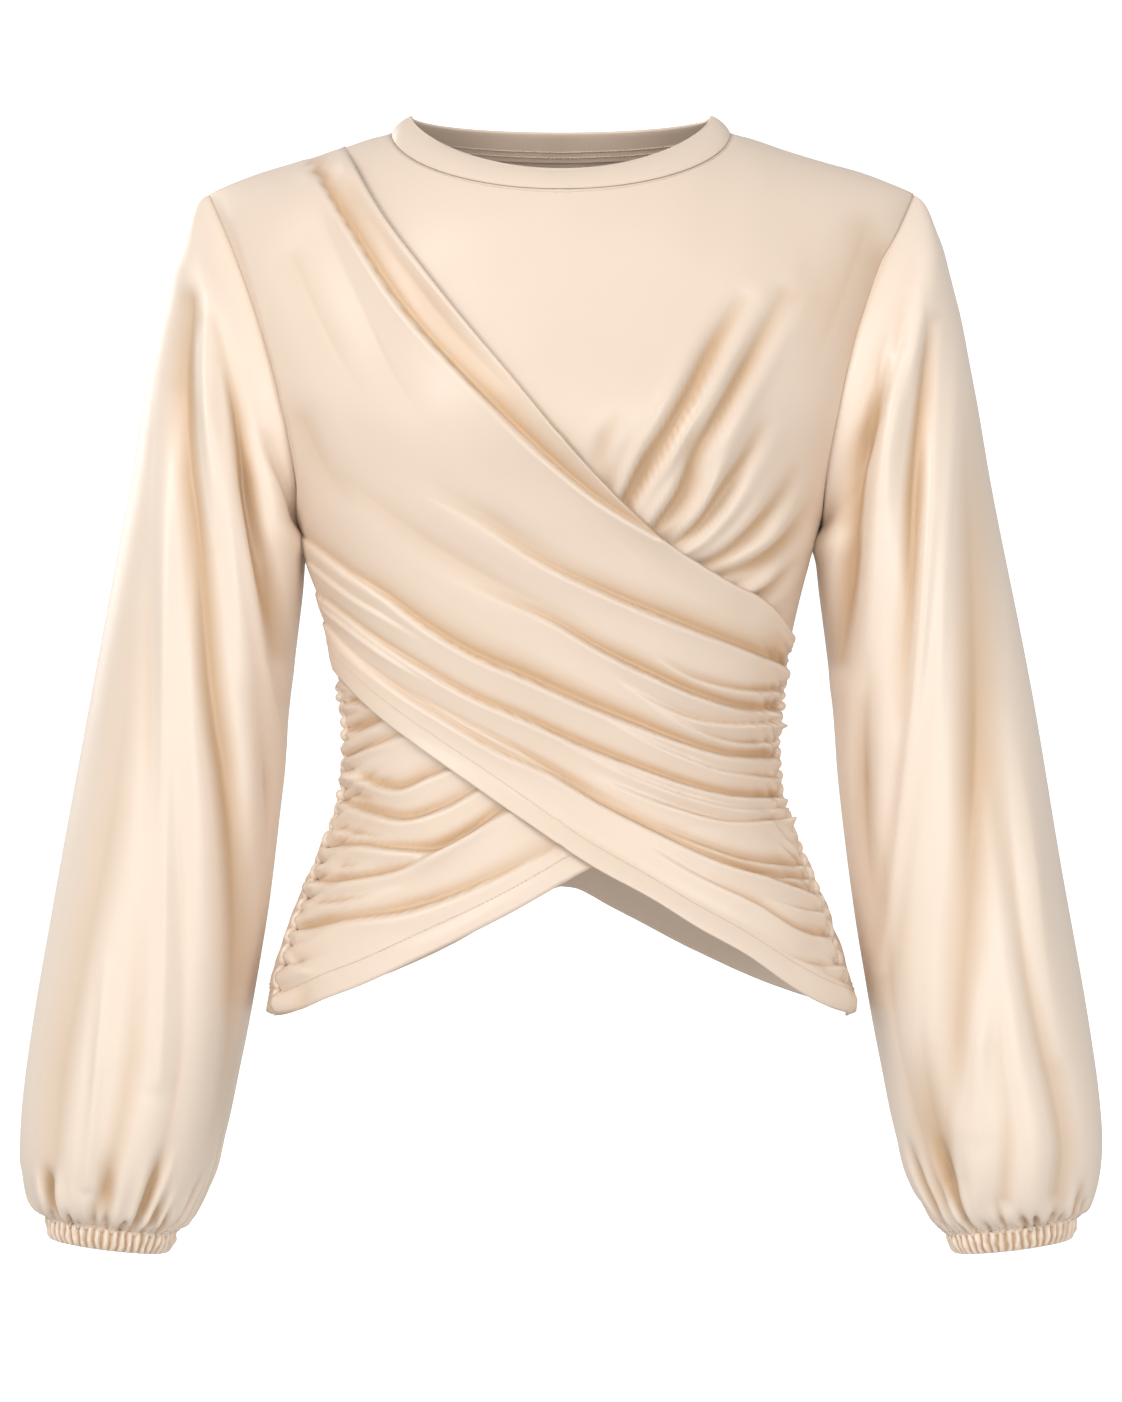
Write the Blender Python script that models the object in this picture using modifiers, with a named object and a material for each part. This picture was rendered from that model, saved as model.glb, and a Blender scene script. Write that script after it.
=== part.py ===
"""Balloon sleeve blouse with a crossed, ruched front, as it stands filled out with no wearer.

Frame: +Z up, the front faces -Y, +X is on the viewer's right and so on the wearer's left.
The origin is where the wearer's shoulders hold the blouse: midway between the two neck points.
All sizes below are millimetres and degrees. The meshes are made in metres.
"""

from collections import namedtuple

import bmesh
import bpy
import numpy as np

MM = 0.001

# Cloth, seams and layers
CLOTH = 1.2
SEAM_GAP = 0.6
SIDE_SEAM_GAP = 0.9
LAYER = 2.6
ROOM_FOR_FOLDS = 2.2
ROOM_REACH = 24.0

# Shoulders and armholes
NECK_POINT = 94.0
OVER_START = 121.0
SHOULDER_TIP = 197.5
ARMHOLE_TOP = -36.0
ARMPIT = -217.0
ARMHOLE_SCOOP = 24.0
HEM_TIP = -493.0

# The torso's sections: roundness 1 is an ellipse, less is flatter across the middle
FRONT_ROUNDNESS = 0.80
BACK_ROUNDNESS = 0.78
FRONT_SHOULDER_DROP = 95.0
BACK_SHOULDER_DROP = 74.0

# The torso, section by section, from the shoulders to the hem
Section = namedtuple("Section", "z half_width front_depth back_depth")
TORSO = [
    Section(30, 197.5, 70, 66),
    Section(-36, 197.5, 82, 84),
    Section(-80, 189.5, 92, 95),
    Section(-126, 177.0, 102, 98),
    Section(-165, 163.5, 108, 95),
    Section(-200, 150.8, 104, 90),
    Section(-217, 145.6, 101, 87),
    Section(-241, 139.2, 95, 82),
    Section(-274, 131.0, 88, 76),
    Section(-308, 124.3, 84, 72),
    Section(-350, 121.3, 83, 72),
    Section(-375, 124.7, 86, 77),
    Section(-409, 138.0, 93, 88),
    Section(-442, 151.5, 99, 96),
    Section(-476, 162.0, 103, 101),
    Section(-510, 168.0, 106, 104),
]

# The line along the top of the shoulders, and its run on over the neck
Shoulder = namedtuple("Shoulder", "x z")
SHOULDERS = [
    Shoulder(0, 24),
    Shoulder(60, 12),
    Shoulder(94, -1.8),
    Shoulder(106, -5.0),
    Shoulder(125, -11.6),
    Shoulder(147, -18.4),
    Shoulder(170, -25.2),
    Shoulder(188, -32.0),
    Shoulder(197.5, -36.0),
]

# Bust fullness, cut into the front
BUST_HEIGHT = 10.0
BUST_LEVEL = -165.0
BUST_REACH = 62.0
BUST_SPREAD = 42.0

# The side seam leaves the bottom of the armhole and drifts forward on its way down
SideSeam = namedtuple("SideSeam", "z angle")
SIDE_SEAM = [
    SideSeam(-217, 90.0),
    SideSeam(-240, 86.5),
    SideSeam(-268, 82.5),
    SideSeam(-300, 79.0),
    SideSeam(-380, 74.5),
    SideSeam(-510, 72.0),
]

# Neck seam, and the band's top edge as (y, z) in front and behind
NECK_SIDE_Z = -1.8
NECK_FRONT_DROP = 39.5
NECK_BACK_DROP = 7.5
BAND_HALF_WIDTH = 84.0
BAND_FRONT = (-66.5, -28.5)
BAND_BACK = (53.0, 5.6)
BAND_SIDE_Z = 7.6
BAND_THICKNESS = 2.4

# The front view: an eye this far in front of the side seams, level with the waist
EYE_DISTANCE = 2600.0
EYE_LEVEL = -320.0
PICTURE_SCALE = 0.56
PICTURE_AXIS = 561.0
PICTURE_NECK = 130.0


def through(table, column, at):
    """A smooth curve through one column of a table, read at the places given along its first column."""
    places = np.array([row[0] for row in table], float)
    values = np.array([getattr(row, column) for row in table], float)
    if places[0] > places[-1]:
        places, values = places[::-1], values[::-1]
    steps = np.diff(places)
    rises = np.diff(values) / steps
    slopes = np.empty_like(values)
    slopes[0], slopes[-1] = rises[0], rises[-1]
    slopes[1:-1] = (rises[:-1] * steps[1:] + rises[1:] * steps[:-1]) / (steps[:-1] + steps[1:])
    at = np.clip(np.asarray(at, float), places[0], places[-1])
    i = np.clip(np.searchsorted(places, at) - 1, 0, len(steps) - 1)
    t = (at - places[i]) / steps[i]
    near = values[i] + (values[i + 1] - values[i]) * t * t * (3 - 2 * t)
    return near + steps[i] * t * (1 - t) * (slopes[i] * (1 - t) - slopes[i + 1] * t)


def ease(t):
    """Goes from 0 to 1 with no corner at either end."""
    t = np.clip(t, 0, 1)
    return t * t * (3 - 2 * t)


# The torso form


def half_width(z):
    """Half the torso's width, which stays the shoulders' width above the shoulder tips."""
    return np.minimum(through(TORSO, "half_width", z), SHOULDER_TIP)


def crest(angle):
    """The height of the shoulder line over each angle."""
    return through(SHOULDERS, "z", SHOULDER_TIP * np.abs(np.sin(np.radians(angle))))


def torso(angle, z):
    """The form that the cloth lies on. Angle 0 is the middle of the front, 90 the viewer's right side."""
    turn = np.radians(angle)
    x = half_width(z) * np.sin(turn)
    in_front = np.cos(turn) > 0
    depth = np.where(in_front, through(TORSO, "front_depth", z), through(TORSO, "back_depth", z))
    power = np.where(in_front, FRONT_ROUNDNESS, BACK_ROUNDNESS)
    drop = np.where(in_front, FRONT_SHOULDER_DROP, BACK_SHOULDER_DROP)
    below = np.clip((crest(angle) - z) / drop, 0, 1)
    depth = depth * np.abs(np.cos(turn)) ** power * np.sqrt(1 - (1 - below) ** 2)
    past = np.maximum(np.abs(x) - BUST_REACH, 0) / BUST_SPREAD
    bust = BUST_HEIGHT * np.exp(-(past**2) - ((z - BUST_LEVEL) / BUST_SPREAD) ** 2)
    y = np.where(in_front, -depth - bust * np.clip(np.cos(turn), 0, 1), depth)
    return np.stack([x, y, z + 0 * x], axis=-1)


def rolled(edge, drop):
    """(angle, z) written as (angle, roll), where roll counts evenly over the rounding of the shoulder."""
    share = np.maximum((crest(edge[..., 0]) - edge[..., 1]) / drop, 0)
    roll = np.where(share < 1, np.arccos(np.clip(1 - share, 0, 1)), np.pi / 2 + share - 1)
    return np.stack([edge[..., 0], roll], axis=-1)


def unrolled(spots, drop):
    """(angle, roll) written as (angle, z) again."""
    roll = spots[..., 1]
    share = np.where(roll < np.pi / 2, 1 - np.cos(roll), 1 + roll - np.pi / 2)
    return np.stack([spots[..., 0], crest(spots[..., 0]) - drop * share], axis=-1)


def facing(places):
    """The outward directions of the torso at a grid of places."""
    angle, z = places[..., 0], places[..., 1]
    drop = np.where(np.cos(np.radians(angle)) > 0, FRONT_SHOULDER_DROP, BACK_SHOULDER_DROP)
    near_crest = crest(angle) - z < 8
    off_tip = np.where(np.abs(angle) < 90, np.clip(angle, -84, 84), np.clip(angle, 96, 264))
    angle = np.where(near_crest, off_tip, angle)
    z = np.where(near_crest, np.minimum(z, crest(angle)), z)
    roll = np.maximum(rolled(np.stack([angle, z], axis=-1), drop)[..., 1], 0.02)
    upper = unrolled(np.stack([angle, roll - 0.02], axis=-1), drop)
    lower = unrolled(np.stack([angle, roll + 0.02], axis=-1), drop)
    down = torso(angle, lower[..., 1]) - torso(angle, upper[..., 1])
    before = unrolled(np.stack([angle - 0.8, roll], axis=-1), drop)
    after = unrolled(np.stack([angle + 0.8, roll], axis=-1), drop)
    along = torso(angle + 0.8, after[..., 1]) - torso(angle - 0.8, before[..., 1])
    out = np.cross(down, along)
    return out / np.maximum(np.linalg.norm(out, axis=-1, keepdims=True), 1e-9)


# The front view


def seen(points):
    """Where points appear in the front view, in the plane of the side seams."""
    shrink = EYE_DISTANCE / (EYE_DISTANCE + points[..., 1])
    return np.stack([points[..., 0] * shrink, EYE_LEVEL + (points[..., 2] - EYE_LEVEL) * shrink], axis=-1)


def from_picture(pairs):
    """Places read off the front view, in picture units, as millimetres in the plane of the side seams."""
    pairs = np.asarray(pairs, float)
    flipped = np.stack([pairs[..., 0] - PICTURE_AXIS, PICTURE_NECK - pairs[..., 1]], axis=-1)
    return flipped * PICTURE_SCALE


def level(y):
    """The height of a place read off the front view."""
    return (PICTURE_NECK - y) * PICTURE_SCALE


def behind(sight):
    """The angle and height of the torso's front that lies behind each place of the front view."""
    y = np.full(sight.shape[:-1], -80.0)
    for _ in range(14):
        grow = (EYE_DISTANCE + y) / EYE_DISTANCE
        z = EYE_LEVEL + (sight[..., 1] - EYE_LEVEL) * grow
        sine = sight[..., 0] * grow / half_width(z)
        angle = np.degrees(np.arcsin(np.clip(sine, -0.999, 0.999)))
        y = torso(angle, z)[..., 1]
    return np.stack([angle, z], axis=-1)


def offset_from(line, places):
    """How far each place lies from a line, plus to its left, and the share of the line passed there."""
    flat = places.reshape(-1, 2)
    best = np.full(len(flat), np.inf)
    signed, share = np.zeros(len(flat)), np.zeros(len(flat))
    runs = np.diff(line, axis=0)
    for k, (start, run) in enumerate(zip(line[:-1], runs)):
        away = flat - start
        t = np.clip(away @ run / (run @ run), 0, 1)
        gap = away - t[:, None] * run
        far = np.hypot(gap[:, 0], gap[:, 1])
        nearer = far < best
        side = np.sign(run[0] * away[:, 1] - run[1] * away[:, 0])
        best = np.where(nearer, far, best)
        signed = np.where(nearer, far * side, signed)
        share = np.where(nearer, (k + t) / len(runs), share)
    return signed.reshape(places.shape[:-1]), share.reshape(places.shape[:-1])


# Folds as they run in the front view: three places in picture units, width w and heights in millimetres
Fold = namedtuple("Fold", "x0 y0 x1 y1 x2 y2 w h0 h1 h2")

# Drape folds of the crossing front: each stands proud below its line and dips above it
DRAPE_ROLLS = [
    Fold(318, 172, 478, 394, 655, 532, 17, 3.0, 4.0, 2.0),
    Fold(440, 505, 625, 602, 779, 664, 15, 0.0, 3.0, 3.5),
    Fold(470, 590, 640, 668, 776, 706, 14, 0.0, 3.5, 4.0),
    Fold(314, 540, 520, 676, 772, 756, 17, 1.5, 4.0, 4.0),
    Fold(332, 600, 560, 736, 777, 799, 15, 1.5, 4.0, 4.0),
    Fold(335, 625, 570, 786, 812, 900, 16, 1.0, 4.0, 3.5),
    Fold(640, 845, 745, 902, 838, 940, 14, 0.0, 3.0, 3.0),
]

# The largest gathers of the under front, fanning out from below the crossing edge
FAN_TROUGHS = [
    Fold(613, 490, 628, 458, 645, 415, 16, 2.5, 2.0, 0.0),
    Fold(629, 508, 676, 420, 742, 300, 20, 3.5, 4.0, 1.0),
    Fold(655, 530, 708, 432, 778, 305, 20, 3.5, 4.0, 1.0),
    Fold(673, 543, 708, 508, 742, 462, 18, 3.5, 3.0, 0.0),
    Fold(710, 568, 765, 548, 812, 500, 18, 3.5, 3.5, 1.0),
]

# Ruching of the under front, drawn out of its side seam at the lower left
LEFT_TROUGHS = [
    Fold(350, 732, 370, 726, 392, 714, 12, 3.0, 3.0, 1.0),
    Fold(350, 757, 376, 748, 412, 732, 12, 3.0, 3.0, 1.0),
    Fold(347, 804, 400, 817, 484, 787, 15, 4.0, 4.0, 1.5),
    Fold(324, 850, 420, 852, 512, 806, 15, 4.0, 4.0, 1.5),
    Fold(312, 880, 400, 874, 545, 832, 15, 4.0, 3.5, 1.5),
    Fold(290, 928, 400, 915, 560, 850, 22, 3.0, 3.0, 1.0),
]

# Free edges in the front view
Edge = namedtuple("Edge", "x y")
OVER_TOP_EDGE = [
    Edge(345, 148.4),
    Edge(375, 203),
    Edge(425, 270),
    Edge(475, 334),
    Edge(525, 393),
    Edge(575, 449),
    Edge(625, 503),
    Edge(675, 547),
    Edge(725, 580),
    Edge(765, 606),
    Edge(788, 640),
]
OVER_HEM = [
    Edge(341, 659),
    Edge(375, 700),
    Edge(425, 746),
    Edge(475, 785),
    Edge(525, 822),
    Edge(592, 868),
    Edge(650, 900),
    Edge(700, 930),
    Edge(750, 955),
    Edge(800, 983),
    Edge(857, 1009),
]
UNDER_HEM = [
    Edge(266, 1009),
    Edge(300, 998),
    Edge(350, 984),
    Edge(425, 954),
    Edge(500, 919),
    Edge(592, 868),
    Edge(690, 822),
    Edge(788, 783),
]

# The back hem arches up to its middle, like the front's
BackHem = namedtuple("BackHem", "x z")
BACK_HEM = [
    BackHem(-172, -493),
    BackHem(-150, -491),
    BackHem(-110, -480),
    BackHem(-67, -461),
    BackHem(-30, -440),
    BackHem(2, -427),
    BackHem(36, -441),
    BackHem(81, -464),
    BackHem(124, -483),
    BackHem(152, -491),
    BackHem(172, -493),
]

# Gathers along the two side seams: where each ridge is in the front view, and how far it rises
Ruche = namedtuple("Ruche", "left right left_rise right_rise")
RUCHES = [
    Ruche(672, 658, 2.4, 2.0),
    Ruche(688, 675, 2.8, 3.0),
    Ruche(704, 693, 2.6, 3.2),
    Ruche(721, 711, 3.2, 2.8),
    Ruche(739, 731, 3.0, 3.2),
    Ruche(758, 751, 3.4, 2.6),
    Ruche(778, 771, 3.0, 3.3),
    Ruche(798, 792, 3.4, 3.0),
    Ruche(819, 813, 3.0, 3.4),
    Ruche(840, 835, 3.3, 3.0),
    Ruche(862, 857, 2.8, 3.3),
    Ruche(884, 880, 3.2, 2.8),
    Ruche(907, 904, 2.6, 3.2),
    Ruche(930, 928, 3.0, 2.8),
    Ruche(955, 954, 2.8, 3.0),
    Ruche(982, 981, 2.4, 2.4),
]
RUCHE_REACH = 44.0
LEFT_RUCHE_TOP = 659
RIGHT_RUCHE_TOP = 653
RUCHE_END = 1010

# How the crossing front's rows run from its left edge to the right side seam.
# left counts 0 to 1 along the shoulder, 1 to 2 down the armhole and 2 to 3 down the side seam.
Drape = namedtuple("Drape", "right left")
LEAD_IN = [
    Drape(640.0, 0.0),
    Drape(641.5, 0.33),
    Drape(643.0, 0.66),
    Drape(644.5, 1.0),
    Drape(645.5, 1.05),
    Drape(646.5, 1.13),
    Drape(648.0, 1.24),
    Drape(650.0, 1.37),
]
DRAPE = [
    Drape(653, 1.5),
    Drape(700, 1.78),
    Drape(745, 2.0),
    Drape(800, 2.56),
    Drape(893, 2.75),
    Drape(1010, 3.0),
]

# Divisions
ARMHOLE_STEPS = [0, 8, 22, 42, 66, 92, 120, 150, 180]
PLAIN_SIDE_ROWS = 3
NECK_COLUMNS = 10
NECK_SHARE = 0.29
NECK_PULL = np.array([6.0, 1.6])
LEFT_SHOULDER_COLUMNS = 5
RIGHT_SHOULDER_COLUMNS = 7
BACK_SHOULDER_COLUMNS = 5
OVER_COLUMNS = [0, 0.012, 0.032, 0.06, 0.1, 0.15, 0.21, 0.28, 0.37, 0.47]
OVER_COLUMNS += [0.57, 0.66, 0.74, 0.81, 0.87, 0.92, 0.96, 0.985, 1]

# Sleeves: the outer and inner ends of each section in the front view, and half its depth
SleeveRing = namedtuple("SleeveRing", "t outer_x outer_y inner_x inner_y half_depth")
SLEEVE = [
    SleeveRing(1, 184, 238, 303, 536, 56),
    SleeveRing(2, 165, 310, 303, 553, 60),
    SleeveRing(3, 146, 400, 301, 580, 63),
    SleeveRing(4, 129, 495, 297, 620, 65),
    SleeveRing(5, 106, 620, 291, 690, 65),
    SleeveRing(6, 81, 760, 282, 785, 63),
    SleeveRing(7, 56, 900, 268, 893, 61),
    SleeveRing(8, 35, 1023, 251, 1003, 59),
    SleeveRing(9, 25, 1095, 238, 1072, 57),
    SleeveRing(10, 22, 1145, 227, 1125, 54),
    SleeveRing(11, 26, 1182, 214, 1172, 48),
    SleeveRing(12, 35, 1204, 195, 1212, 39),
    SleeveRing(13, 45, 1214, 177, 1231, 28),
]
SLEEVE_STEPS = [0.12, 0.5, 1, 2, 3, 4, 5, 6, 7, 8, 9, 10, 11, 12, 12.6, 13]
SLEEVE_GATHERS = 18
GATHER_RISE = 3.2
GATHER_START = 9.3

# The sleeve's longest folds, as seen from the front on the viewer's left
SLEEVE_TROUGHS = [
    Fold(213, 300, 245, 470, 280, 720, 26, 3.0, 6.5, 0.0),
    Fold(190, 300, 187, 470, 236, 960, 26, 1.0, 4.5, 0.0),
    Fold(268, 395, 285, 440, 304, 545, 22, 3.0, 5.0, 0.0),
    Fold(128, 600, 110, 820, 60, 1100, 34, 0.0, 4.0, 0.0),
]

# Cuffs: outer and inner ends of the top and bottom rings in the front view
CUFF_TOP = SleeveRing(0, 45, 1215.2, 177, 1232.2, 27.5)
CUFF_BOTTOM = SleeveRing(1, 50, 1238, 168, 1253, 25.5)
CUFF_RIBS = 40
RIB_RISE = 1.3
CUFF_THICKNESS = 2.0


# Edges that the panels share


def share_gap(z):
    """Half the seam gap, as an angle."""
    return np.degrees(0.5 * SIDE_SEAM_GAP / half_width(z))


def side_seam(z, panel):
    """The angle of the right side seam. panel is -1 for a front's edge and +1 for the back's."""
    return through(SIDE_SEAM, "angle", z) + panel * share_gap(z)


def armhole(step, panel):
    """The right armhole as (angle, z), from the shoulder, step 0, to the armpit, step 180."""
    around = np.radians(step)
    middle = (ARMHOLE_TOP + ARMPIT) / 2
    z = middle + (ARMHOLE_TOP - middle) * np.cos(around)
    tip = 3.0 * np.exp(-np.asarray(step) / 8.0)
    angle = 90 + panel * (ARMHOLE_SCOOP * np.sin(around) + share_gap(z) + tip)
    return np.stack([angle, np.minimum(z, crest(angle) - 0.3)], axis=-1)


def shoulder(angle, panel):
    """The shoulder line at an angle, drawn back from it by half the seam gap."""
    drop, depth = (FRONT_SHOULDER_DROP, 82.0) if panel < 0 else (BACK_SHOULDER_DROP, 84.0)
    width = np.maximum(np.abs(np.cos(np.radians(angle))), 0.05) ** 0.8
    gap = SEAM_GAP * (1.5 + np.abs(np.sin(np.radians(angle))) ** 6)
    roll = np.minimum(0.5 * gap / (depth * width), 0.1)
    return unrolled(np.stack([angle, roll], axis=-1), drop)


def neck(turn, drop):
    """The neck seam as (angle, z). turn is -90 at the left neck point and 90 at the right one."""
    x = NECK_POINT * np.sin(np.radians(turn))
    z = NECK_SIDE_Z - drop * np.cos(np.radians(turn))
    return np.stack([np.degrees(np.arcsin(x / half_width(z))), z], axis=-1)


def to_ends(line, shares, first, last):
    """Draws the two ends of a line onto the corners where it meets its neighbours."""
    t = shares[:, None]
    return line + (1 - t) ** 6 * (first - line[0]) + t**6 * (last - line[-1])


def free_edge(table, shares):
    """Places on the torso along a free edge drawn in the front view, at shares of its length."""
    xs = table[0].x + (table[-1].x - table[0].x) * (1 - np.cos(np.linspace(0, np.pi, 400))) / 2
    spots = behind(from_picture(np.stack([xs, through(table, "y", xs)], axis=-1)))
    steps = np.linalg.norm(np.diff(torso(*spots.T), axis=0), axis=1)
    passed = np.concatenate([[0], np.cumsum(steps)])
    passed = passed / passed[-1]
    return np.stack([np.interp(shares, passed, spots[:, k]) for k in (0, 1)], axis=-1)


def ruche_rows(left):
    """Heights of the valleys and ridges of a side seam's gathers, from the first valley to the hem."""
    ridges = [row.left if left else row.right for row in RUCHES]
    top = LEFT_RUCHE_TOP if left else RIGHT_RUCHE_TOP
    rows = [top]
    for here, after in zip(ridges, ridges[1:] + [RUCHE_END]):
        rows += [here, (here + after) / 2 if after < RUCHE_END else RUCHE_END]
    return np.array(rows, float)


def patch(top, bottom, left, right, shares, drop, top_pull, bottom_pull, calm=1e-6):
    """Rows of places between four edges. A larger pull keeps an edge's own shape nearer to that edge.

    calm is the share of the width, at the left, where the top's shape is felt in the first rows only.
    """
    top, bottom, left, right = (rolled(edge, drop) for edge in (top, bottom, left, right))
    u = shares[None, :, None]
    v = np.linspace(0, 1, len(left))[:, None, None]
    across = left[:, None] * (1 - u) + right[:, None] * u
    top_bow = top[None] - (top[0] * (1 - u) + top[-1] * u)
    bottom_bow = bottom[None] - (bottom[0] * (1 - u) + bottom[-1] * u)
    top_bow = top_bow * (1 - ease(v / 0.07) * np.exp(-u / calm))
    return unrolled(across + (1 - v) ** top_pull * top_bow + v**bottom_pull * bottom_bow, drop)


# Folds


def bent(row, count=25):
    """Points along the soft curve through a fold's three places."""
    first, middle, last = from_picture([(row.x0, row.y0), (row.x1, row.y1), (row.x2, row.y2)])
    t = np.linspace(0, 1, count)[:, None]
    pull = 2 * middle - (first + last) / 2
    return first * (1 - t) ** 2 + 2 * pull * t * (1 - t) + last * t * t


def roll_height(row, places):
    """A fold roll: proud below its line, dipping just above it."""
    signed, share = offset_from(bent(row), places)
    height = np.interp(share, [0, 0.5, 1], [row.h0, row.h1, row.h2])
    proud = np.exp(-np.abs(signed) / row.w) * ease(0.5 - signed / 10.0)
    dip = 0.5 * np.exp(-(((signed - 7.0) / (0.5 * row.w)) ** 2))
    return height * (proud - dip)


def trough_depth(row, places):
    """A soft trough along a line."""
    signed, share = offset_from(bent(row), places)
    height = np.interp(share, [0, 0.5, 1], [row.h0, row.h1, row.h2])
    past_end = np.where((share <= 0) | (share >= 1), 0.6, 0.5)
    return height * np.exp(-((signed / (past_end * row.w)) ** 2))


def cover(places):
    """How far inside the crossing front each place of the front view is."""
    share = np.linspace(0, 1, 60)
    top = from_picture([(x, through(OVER_TOP_EDGE, "y", x)) for x in 345 + 443 * share])
    hem = from_picture([(x, through(OVER_HEM, "y", x)) for x in 341 + 516 * share])
    return np.minimum(-offset_from(top, places)[0], offset_from(hem, places)[0])


def sink(places):
    """The under front lies one layer lower where the crossing front covers it."""
    return -LAYER * ease((cover(places) + 2) / 20.0)


def ruched(rows, first_row, left, at_start):
    """Ridges on every other row of a panel, rising towards a side seam and dying out away from it."""
    lift = np.zeros(rows.shape[:2])
    along = rows if at_start else rows[:, ::-1]
    far = np.cumsum(np.linalg.norm(np.diff(along, axis=1), axis=-1), axis=1)
    far = np.concatenate([np.zeros((len(rows), 1)), far], axis=1)
    fade = ease(1 - far / RUCHE_REACH)
    for k, row in enumerate(RUCHES):
        i = first_row + 1 + 2 * k
        lift[i] = (row.left_rise if left else row.right_rise) * fade[i]
    return lift if at_start else lift[:, ::-1]


# Meshes


def cloth_material(name, colour):
    material = bpy.data.materials.new(name)
    material.use_nodes = True
    shader = material.node_tree.nodes["Principled BSDF"]
    shader.inputs["Base Color"].default_value = (*colour, 1)
    shader.inputs["Roughness"].default_value = 0.5
    shader.inputs["Metallic"].default_value = 0
    return material


def finish(name, mesh, colour):
    """Turns a bmesh into a named object with its own cloth material."""
    data = bpy.data.meshes.new(name)
    mesh.to_mesh(data)
    mesh.free()
    data.materials.append(cloth_material(name + "_cloth", colour))
    piece = bpy.data.objects.new(name, data)
    blouse.objects.link(piece)
    return piece


def cloth(name, rows, colour, closed=False):
    """A cloth wall whose outer skin is the points themselves."""
    count, across = rows.shape[:2]
    mesh = bmesh.new()
    verts = [[mesh.verts.new(point * MM) for point in row] for row in rows]
    for i in range(count - 1):
        for j in range(across if closed else across - 1):
            k = (j + 1) % across
            mesh.faces.new([verts[i][j], verts[i + 1][j], verts[i + 1][k], verts[i][k]])
    piece = finish(name, mesh, colour)
    wall = piece.modifiers.new("cloth thickness", "SOLIDIFY")
    wall.thickness = CLOTH * MM
    wall.offset = -1
    return piece


def ring_wall(name, rings, colour):
    """A closed wall through rings that run down its outside and back up its inside."""
    count, around = rings.shape[:2]
    mesh = bmesh.new()
    verts = [[mesh.verts.new(point * MM) for point in ring] for ring in rings]
    for i in range(count):
        below = verts[(i + 1) % count]
        for j in range(around):
            k = (j + 1) % around
            mesh.faces.new([verts[i][j], below[j], below[k], verts[i][k]])
    return finish(name, mesh, colour)


# Start empty
for thing in list(bpy.data.objects):
    bpy.data.objects.remove(thing)
blouse = bpy.data.collections.new("balloon_sleeve_blouse")
bpy.context.scene.collection.children.link(blouse)

# Under front: neckline, both shoulders, both armholes and both side seams
steps = np.array(ARMHOLE_STEPS, float)
left_rows = ruche_rows(True)
plain = np.linspace(ARMPIT, level(left_rows[0]), PLAIN_SIDE_ROWS + 1)[1:-1]
left_z = np.concatenate([plain, level(left_rows)])
right_z = np.linspace(ARMPIT, level(UNDER_HEM[-1].y), len(left_z) + 1)[1:]
right_edge = np.concatenate([armhole(steps, -1), np.stack([side_seam(right_z, -1), right_z], axis=-1)])
left_edge = np.concatenate([armhole(steps, -1), np.stack([side_seam(left_z, -1), left_z], axis=-1)])
left_edge[:, 0] *= -1
neck_turn = np.linspace(-90, 90, NECK_COLUMNS + 1)
front_neck = neck(neck_turn, NECK_FRONT_DROP)
front_neck[[0, -1]] = shoulder(front_neck[[0, -1], 0], -1)
spread = np.linspace(0, 1, LEFT_SHOULDER_COLUMNS + 1)[:-1] ** 1.5
outer = -90 + (front_neck[0, 0] + 90) * spread
spread = np.linspace(0, 1, RIGHT_SHOULDER_COLUMNS + 1)[:-1] ** 1.3
inner = (90 - (90 - front_neck[-1, 0]) * spread)[::-1]
top_edge = np.concatenate([shoulder(outer, -1), front_neck, shoulder(inner, -1)])
top_edge[0], top_edge[-1] = left_edge[0], right_edge[0]
spread = np.linspace(0, 1, LEFT_SHOULDER_COLUMNS + 1)[:-1] ** 1.5
left_shares = NECK_SHARE * spread
spread = np.linspace(0, 1, RIGHT_SHOULDER_COLUMNS + 1)[:-1] ** 1.3
right_shares = 1 - NECK_SHARE * spread[::-1]
neck_shares = 0.5 + (0.5 - NECK_SHARE) * neck_turn / 90
shares = np.concatenate([left_shares, neck_shares, right_shares])
hem_edge = to_ends(free_edge(UNDER_HEM, shares), shares, left_edge[-1], right_edge[-1])
places = patch(top_edge, hem_edge, left_edge, right_edge, shares, FRONT_SHOULDER_DROP, NECK_PULL, 1.5)
skin = torso(places[..., 0], places[..., 1])
view = seen(skin)
height = sink(view)
inside = cover(view)
uncovered = ease(-inside / 6.0 + 1)
for fold in FAN_TROUGHS + LEFT_TROUGHS:
    height = height - trough_depth(fold, view) * uncovered
height = height + ruched(skin, len(steps) + len(plain), True, True) * ease(-inside / 10.0)
cloth("front_under", skin + height[..., None] * facing(places), (0.80, 0.69, 0.58))

# Crossing front: pleated into the shoulder, drawn across and ruched into the right side seam
right_rows = ruche_rows(False)
row_ends = np.concatenate([[row.right for row in LEAD_IN], right_rows])
row_z = level(row_ends)
over_right = np.stack([side_seam(row_z, -1), row_z], axis=-1)
along_left = np.interp(row_ends, *np.array(LEAD_IN + DRAPE).T)
start_angle = np.degrees(np.arcsin(OVER_START / SHOULDER_TIP))
on_shoulder = shoulder(start_angle + (90 - start_angle) * np.clip(along_left, 0, 1), -1)
on_armhole = armhole(180 * np.clip(along_left - 1, 0, 1), -1)
low_z = ARMPIT + (level(LEFT_RUCHE_TOP) - ARMPIT) * np.clip(along_left - 2, 0, 1)
on_side = np.stack([side_seam(low_z, -1), low_z], axis=-1)
part_of = along_left[:, None]
over_left = np.where(part_of < 1, on_shoulder, np.where(part_of < 2, on_armhole, on_side))
over_left[:, 0] *= -1
over_shares = np.array(OVER_COLUMNS, float)
over_top = to_ends(free_edge(OVER_TOP_EDGE, over_shares), over_shares, over_left[0], over_right[0])
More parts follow.
